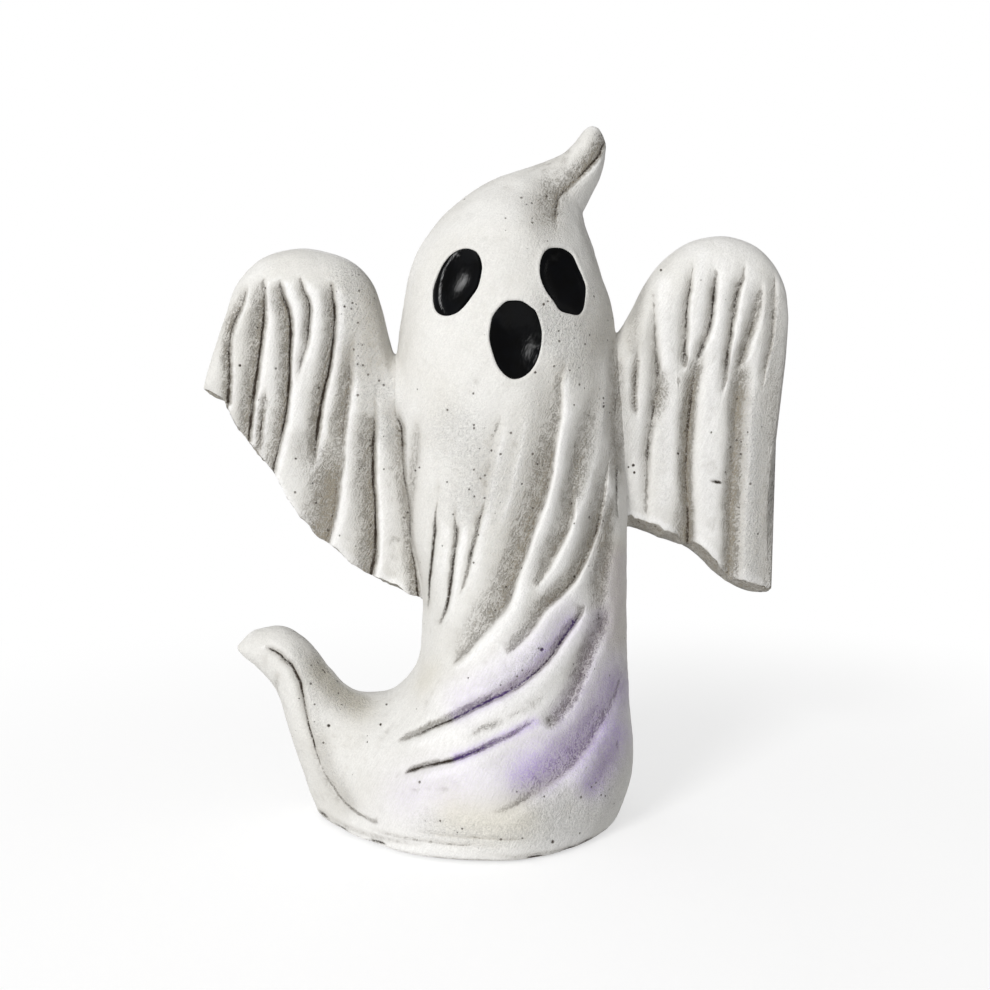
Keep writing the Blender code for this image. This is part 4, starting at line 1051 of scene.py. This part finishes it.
def resin(coords):
    """Cream cast resin with an antique wash and painted shade in its creases, painted light, painted violet
    light and air-bubble pits.
    """
    clouds = noise(coords, 26.0, 4.0)
    mottle = noise(coords, 210.0, 4.0, 0.65)
    grain = noise(coords, 1150.0, 3.0, 0.65)
    brush = streaks(coords, (0.0, 0.50, 0.0), (0.0007, 0.0012, 0.0045))
    speckled, painted_violet_light = stored(coords, "speckled"), stored(coords, "painted_violet_light")

    # Bare resin, paler on ridges and where light is painted on
    pale_ridges_and_painted_light = times(stored(coords, "pale_ridges_and_painted_light"), ranged(brush, 0.30, 0.65, 0.75, 1.0))
    colour = mixed(ranged(clouds, 0.35, 0.70), CREAM, CREAM_DIM)
    colour = mixed(pale_ridges_and_painted_light, colour, RIDGE_AND_PAINTED_LIGHT_PALE)

    # The antique wash with painted shade, the warm tint, and painted violet light falling on the lower body
    strokes = times(ranged(mottle, 0.30, 0.70, 0.86, 1.10), ranged(brush, 0.34, 0.66, 0.82, 1.13))
    patchy = times(strokes, ranged(grain, 0.34, 0.66, 0.54, 1.34))
    # The antique wash with painted shade, in the troughs and the hollows
    wash_and_shade_mask = maths("MAXIMUM", maths("POWER", stored(coords, "wash_and_painted_shade"), 1.12),
                   times(stored(coords, "cavity"), 0.45))
    smear = times(speckled, ranged(strokes, 0.84, 1.12, 0.0, 0.12))
    veil = maths("ADD", times(wash_and_shade_mask, patchy, clamp=True), smear, clamp=True)
    colour = mixed(veil, colour, WASH_AND_SHADE_BROWN)
    colour = mixed(times(stored(coords, "warm"), 0.7), colour, WARM, "MULTIPLY")
    # Painted violet light, mottled
    violet_light_mottle = times(ranged(mottle, 0.3, 0.7, 0.85, 1.10), ranged(grain, 0.36, 0.64, 0.60, 1.25))
    colour = mixed(times(painted_violet_light, violet_light_mottle, clamp=True), colour, VIOLET_LIGHT, "MULTIPLY")

    # Sanded grain, most of all where there is speckle, wash or painted shade, and freckles
    speckle_wash_or_shade = maths("MAXIMUM", speckled, veil)
    sanded = times(ranged(grain, 0.36, 0.64, 0.87, 1.09), ranged(brush, 0.36, 0.64, 0.93, 1.05))
    sanded = add_after(sanded, "CombineColor", sanded, sanded).outputs[0]
    colour = mixed(ranged(speckle_wash_or_shade, 0.0, 0.8, 0.35, 1.0), colour, sanded, "MULTIPLY")
    freckles = times(speckled, ranged(noise(coords, 1500.0, 2.0, 0.5), 0.60, 0.70))
    colour = mixed(times(freckles, 0.45), colour, PIT)

    # Dark dots in some of the cells, more of them where it is speckled
    cells = add_after(coords, "TexVoronoi", Scale=420.0, Randomness=1.0)
    pick = add_after(cells.outputs["Color"], "SeparateColor").outputs
    share = maths("MULTIPLY_ADD", maths("POWER", speckled, 2.0), 0.44, 0.014)
    inside = maths("SUBTRACT", ranged(pick[1], 0.0, 1.0, 0.11, 0.29), cells.outputs["Distance"])
    dot = times(maths("LESS_THAN", pick[0], share), ranged(inside, 0.0, 0.07))
    colour = mixed(times(dot, 0.8), colour, PIT)

    # Stain with painted shade along the creases, tinted where the painted violet light falls
    uneven = times(ranged(noise(coords, 75.0, 2.0), 0.35, 0.62, 0.62, 1.15),
                   ranged(grain, 0.34, 0.62, 0.62, 1.22))
    dark = ranged(times(stored(coords, "crease_line"), uneven), 0.10, 0.66)
    crease_stain_and_shade = mixed(ranged(painted_violet_light, 0.15, 0.60), CREASE_STAIN_AND_SHADE, VIOLET_LIT_CREASE_DARK)
    colour = mixed(times(dark, 0.96), colour, crease_stain_and_shade)

    relief = maths("MULTIPLY_ADD", brush, 0.6, times(grain, 1.3))
    relief = maths("MULTIPLY_ADD", mottle, 0.8, relief)
    relief = times(relief, ranged(speckle_wash_or_shade, 0.0, 0.9, 0.50, 1.7))
    relief = maths("SUBTRACT", relief, times(dot, 1.5))
    return colour, ranged(mottle, 0.3, 0.7, 0.52, 0.70), relief, 0.00055


def gloss(coords):
    """Black gloss paint with brush marks."""
    marks = streaks(coords, (0.0, 0.40, 0.0), (0.0006, 0.0006, 0.0030), rough=0.5)
    blots = ranged(noise(coords, 120.0), 0.35, 0.7)
    colour = mixed(blots, (0.0003, 0.0003, 0.0003), (0.0010, 0.0013, 0.0022))
    return colour, ranged(marks, 0.3, 0.7, 0.10, 0.24), marks, 0.00010


def steel(coords):
    lines = streaks(coords, (0.0, 0.0, 0.0), (0.016, 0.00025, 0.00025), 3.0)
    colour = mixed(ranged(lines, 0.3, 0.7), (0.50, 0.51, 0.52), (0.62, 0.63, 0.64))
    return colour, ranged(lines, 0.3, 0.7, 0.24, 0.40), lines, 0.00003


def board(coords):
    fibres = streaks(coords, (0.0, 0.0, 0.4), (0.004, 0.0007, 0.0011), 5.0, 0.7)
    flecks = ranged(noise(coords, 1900.0, 2.0), 0.60, 0.72, 0.0, 0.5)
    colour = mixed(ranged(fibres, 0.3, 0.7), (0.27, 0.19, 0.12), (0.40, 0.29, 0.19))
    colour = mixed(flecks, colour, (0.14, 0.09, 0.05))
    return colour, ranged(fibres, 0.3, 0.7, 0.70, 0.88), fibres, 0.00012


def plaster(coords):
    clouds = noise(coords, 60.0, 5.0, 0.6)
    holes = ranged(add_after(coords, "TexVoronoi", Scale=420.0).outputs["Distance"], 0.30, 0.12)
    colour = mixed(ranged(clouds, 0.3, 0.7), (0.78, 0.77, 0.74), (0.68, 0.67, 0.63))
    colour = mixed(times(holes, 0.5), colour, (0.45, 0.43, 0.40))
    return colour, ranged(clouds, 0.3, 0.7, 0.78, 0.92), maths("SUBTRACT", clouds, holes), 0.00025


def felt(coords):
    fibres = noise(coords, 1600.0, 5.0, 0.75)
    clumps = noise(coords, 300.0)
    colour = mixed(ranged(fibres, 0.3, 0.7), (0.065, 0.065, 0.072), (0.15, 0.15, 0.16))
    colour = mixed(ranged(clumps, 0.4, 0.7, 0.0, 0.4), colour, (0.09, 0.085, 0.09))
    return colour, ranged(clumps, 0.3, 0.7, 0.88, 1.0), fibres, 0.00030


def finish_piece(name, mesh, material, node):
    """Add a mesh as the piece that replaces a node of the frame."""
    mesh.materials.clear()
    mesh.materials.append(material)
    mesh.shade_smooth()
    piece = add_object(name, mesh)
    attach(piece, "root")
    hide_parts(node)


def build_statue():
    """The body and the two sleeves, which are shaped together, and the face's fillings."""
    body, body_fields = build_body_grid()
    left, left_fields = build_arm_grid(LEFT_RIB_SHARES, LEFT_ARM_CREASES, LEFT_HEM, 1)
    right, right_fields = build_arm_grid(RIGHT_RIB_SHARES, RIGHT_ARM_CREASES, RIGHT_HEM, 2)
    meet(body, left, LEFT_FILLET)
    meet(body, right, RIGHT_FILLET)
    face_tree = grid_tree(body, 2)
    ways = dish_face(body, face_tree)
    cast_resin = make_material("antiqued_resin", resin, Roughness=0.6, Specular_IOR_Level=0.35)
    for name, node, grid, fields, triangles in (
            ("ghost_body", "body_shell", body, body_fields, BODY_TRIANGLES),
            ("left_sleeve", "left_arm", left, left_fields, ARM_TRIANGLES),
            ("right_sleeve", "right_arm", right, right_fields, ARM_TRIANGLES)):
        mesh = rings_to_mesh(name, grid)
        store_fields(mesh, fields)
        mesh = thin_out(mesh, triangles)
        if node == "body_shell":
            mesh = hollow_foot(mesh)
        finish_piece(name, mesh, cast_resin, node)
    black_gloss = make_material("brushed_black_gloss", gloss, Roughness=0.25, Specular_IOR_Level=0.12)
    for node, inward in ways.items():
        mesh = rings_to_mesh(node + "_gloss", gloss_rings(node, face_tree, inward))
        finish_piece(node + "_gloss", mesh, black_gloss, node)


def dress_plain_nodes():
    """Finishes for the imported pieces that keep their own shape, and the felt pads."""
    finishes = {"dowel": make_material("drawn_steel", steel, Roughness=0.3, Metallic=1.0),
                "base_plate": make_material("pressed_fibre_board", board, Roughness=0.8),
                "ballast": make_material("cast_plaster", plaster, Roughness=0.85)}
    for node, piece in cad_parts.items():
        for key, material in finishes.items():
            if key in node:
                piece.data.materials.clear()
                piece.data.materials.append(material)
    pressed_felt = make_material("pressed_felt", felt, Roughness=0.95, Sheen_Weight=0.35)
    for number in range(1, 5):
        low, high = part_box(f"felt_pad_{number}")
        middle = (low + high) / 2
        name = f"felt_foot_{number}"
        rings = felt_rings((middle.x, middle.y, low.z), (high.x - low.x) / 2, high.z - low.z, number)
        finish_piece(name, rings_to_mesh(name, rings), pressed_felt, f"felt_pad_{number}")


def seen_by(tree, *kinds):
    """One for light rays of these kinds, and zero for the others."""
    path = add_node(tree, "LightPath")
    seen = path.outputs[f"Is {kinds[0]} Ray"]
    for kind in kinds[1:]:
        seen = maths("MAXIMUM", seen, path.outputs[f"Is {kind} Ray"])
    return seen


def blank_tree(owner):
    owner.use_nodes = True
    owner.node_tree.nodes.clear()
    return owner.node_tree


def set_floor():
    """A white floor that keeps the shadow near the statue and fades to plain white."""
    mesh = bpy.data.meshes.new("floor")
    turn = np.linspace(0, math.tau, FLOOR_SIDES, endpoint=False)
    mesh.from_pydata([(FLOOR_RADIUS * math.cos(a), FLOOR_RADIUS * math.sin(a), 0) for a in turn], [],
                     [tuple(range(FLOOR_SIDES))])
    floor = add_object("floor", mesh)
    material = bpy.data.materials.new("white_floor")
    tree = blank_tree(material)
    coords = add_node(tree, "TexCoord").outputs["Object"]
    away = add_after(coords, "VectorMath", settings={"operation": "LENGTH"}).outputs["Value"]
    plain = add_node(tree, "BsdfDiffuse", FLOOR_GREY).outputs[0]
    lit = add_node(tree, "BsdfDiffuse", SHADOW_GREY).outputs[0]
    glow = add_node(tree, "Emission", WHITE, 0.62).outputs[0]
    white = add_node(tree, "Emission", WHITE, 1.0).outputs[0]
    near = add_after(lit, "AddShader", glow).outputs[0]
    shown = add_after(ranged(away, 0.16, 0.60), "MixShader", near, white).outputs[0]
    seen = seen_by(tree, "Camera", "Glossy", "Transmission")
    both = add_after(seen, "MixShader", plain, shown).outputs[0]
    add_after(both, "OutputMaterial")
    mesh.materials.append(material)


def set_world():
    """A white backdrop that lights the statue softly, more from the key lamp's side."""
    world = bpy.data.worlds.new("studio")
    tree = blank_tree(world)
    seen = seen_by(tree, "Camera", "Transmission")
    way = add_node(tree, "TexCoord").outputs["Generated"]
    facing = add_after(way, "VectorMath", LIGHT_SIDE, settings={"operation": "DOT_PRODUCT"})
    level = maths("MULTIPLY_ADD", facing.outputs["Value"], SOFT_LEAN, SOFT_LEVEL)
    soft = add_node(tree, "Background", WHITE, level).outputs[0]
    white = add_node(tree, "Background", WHITE, 1.0).outputs[0]
    both = add_after(seen, "MixShader", soft, white).outputs[0]
    add_after(both, "OutputWorld")
    bpy.context.scene.world = world


def add_lamp(name, place, power, size):
    """A round lamp that points at the statue's middle."""
    data = bpy.data.lights.new(name, "AREA")
    data.energy = power
    data.shape = "DISK"
    data.size = size
    lamp = add_object(name, data)
    lamp.location = place
    lamp.rotation_euler = (Vector(LAMP_TARGET) - Vector(place)).to_track_quat("-Z", "Y").to_euler()


def set_camera():
    """The photograph's viewpoint."""
    data = bpy.data.cameras.new("camera")
    data.sensor_width = SENSOR_MM
    data.lens = SENSOR_MM * VIEW_DISTANCE / PX_UP / PHOTO_WIDE_PX
    camera = add_object("camera", data)
    camera.location = EYE
    camera.rotation_euler = (math.radians(90 - VIEW_TILT), 0, 0)
    bpy.context.scene.camera = camera
    bpy.context.scene.view_settings.view_transform = "Standard"


set_floor()
set_world()
add_lamp("key", (-1.52, -2.68, 1.46), 69.0, 0.95)
add_lamp("back_fill", (-0.7, 1.1, 0.5), 2.5, 0.8)
set_camera()
build_statue()
dress_plain_nodes()
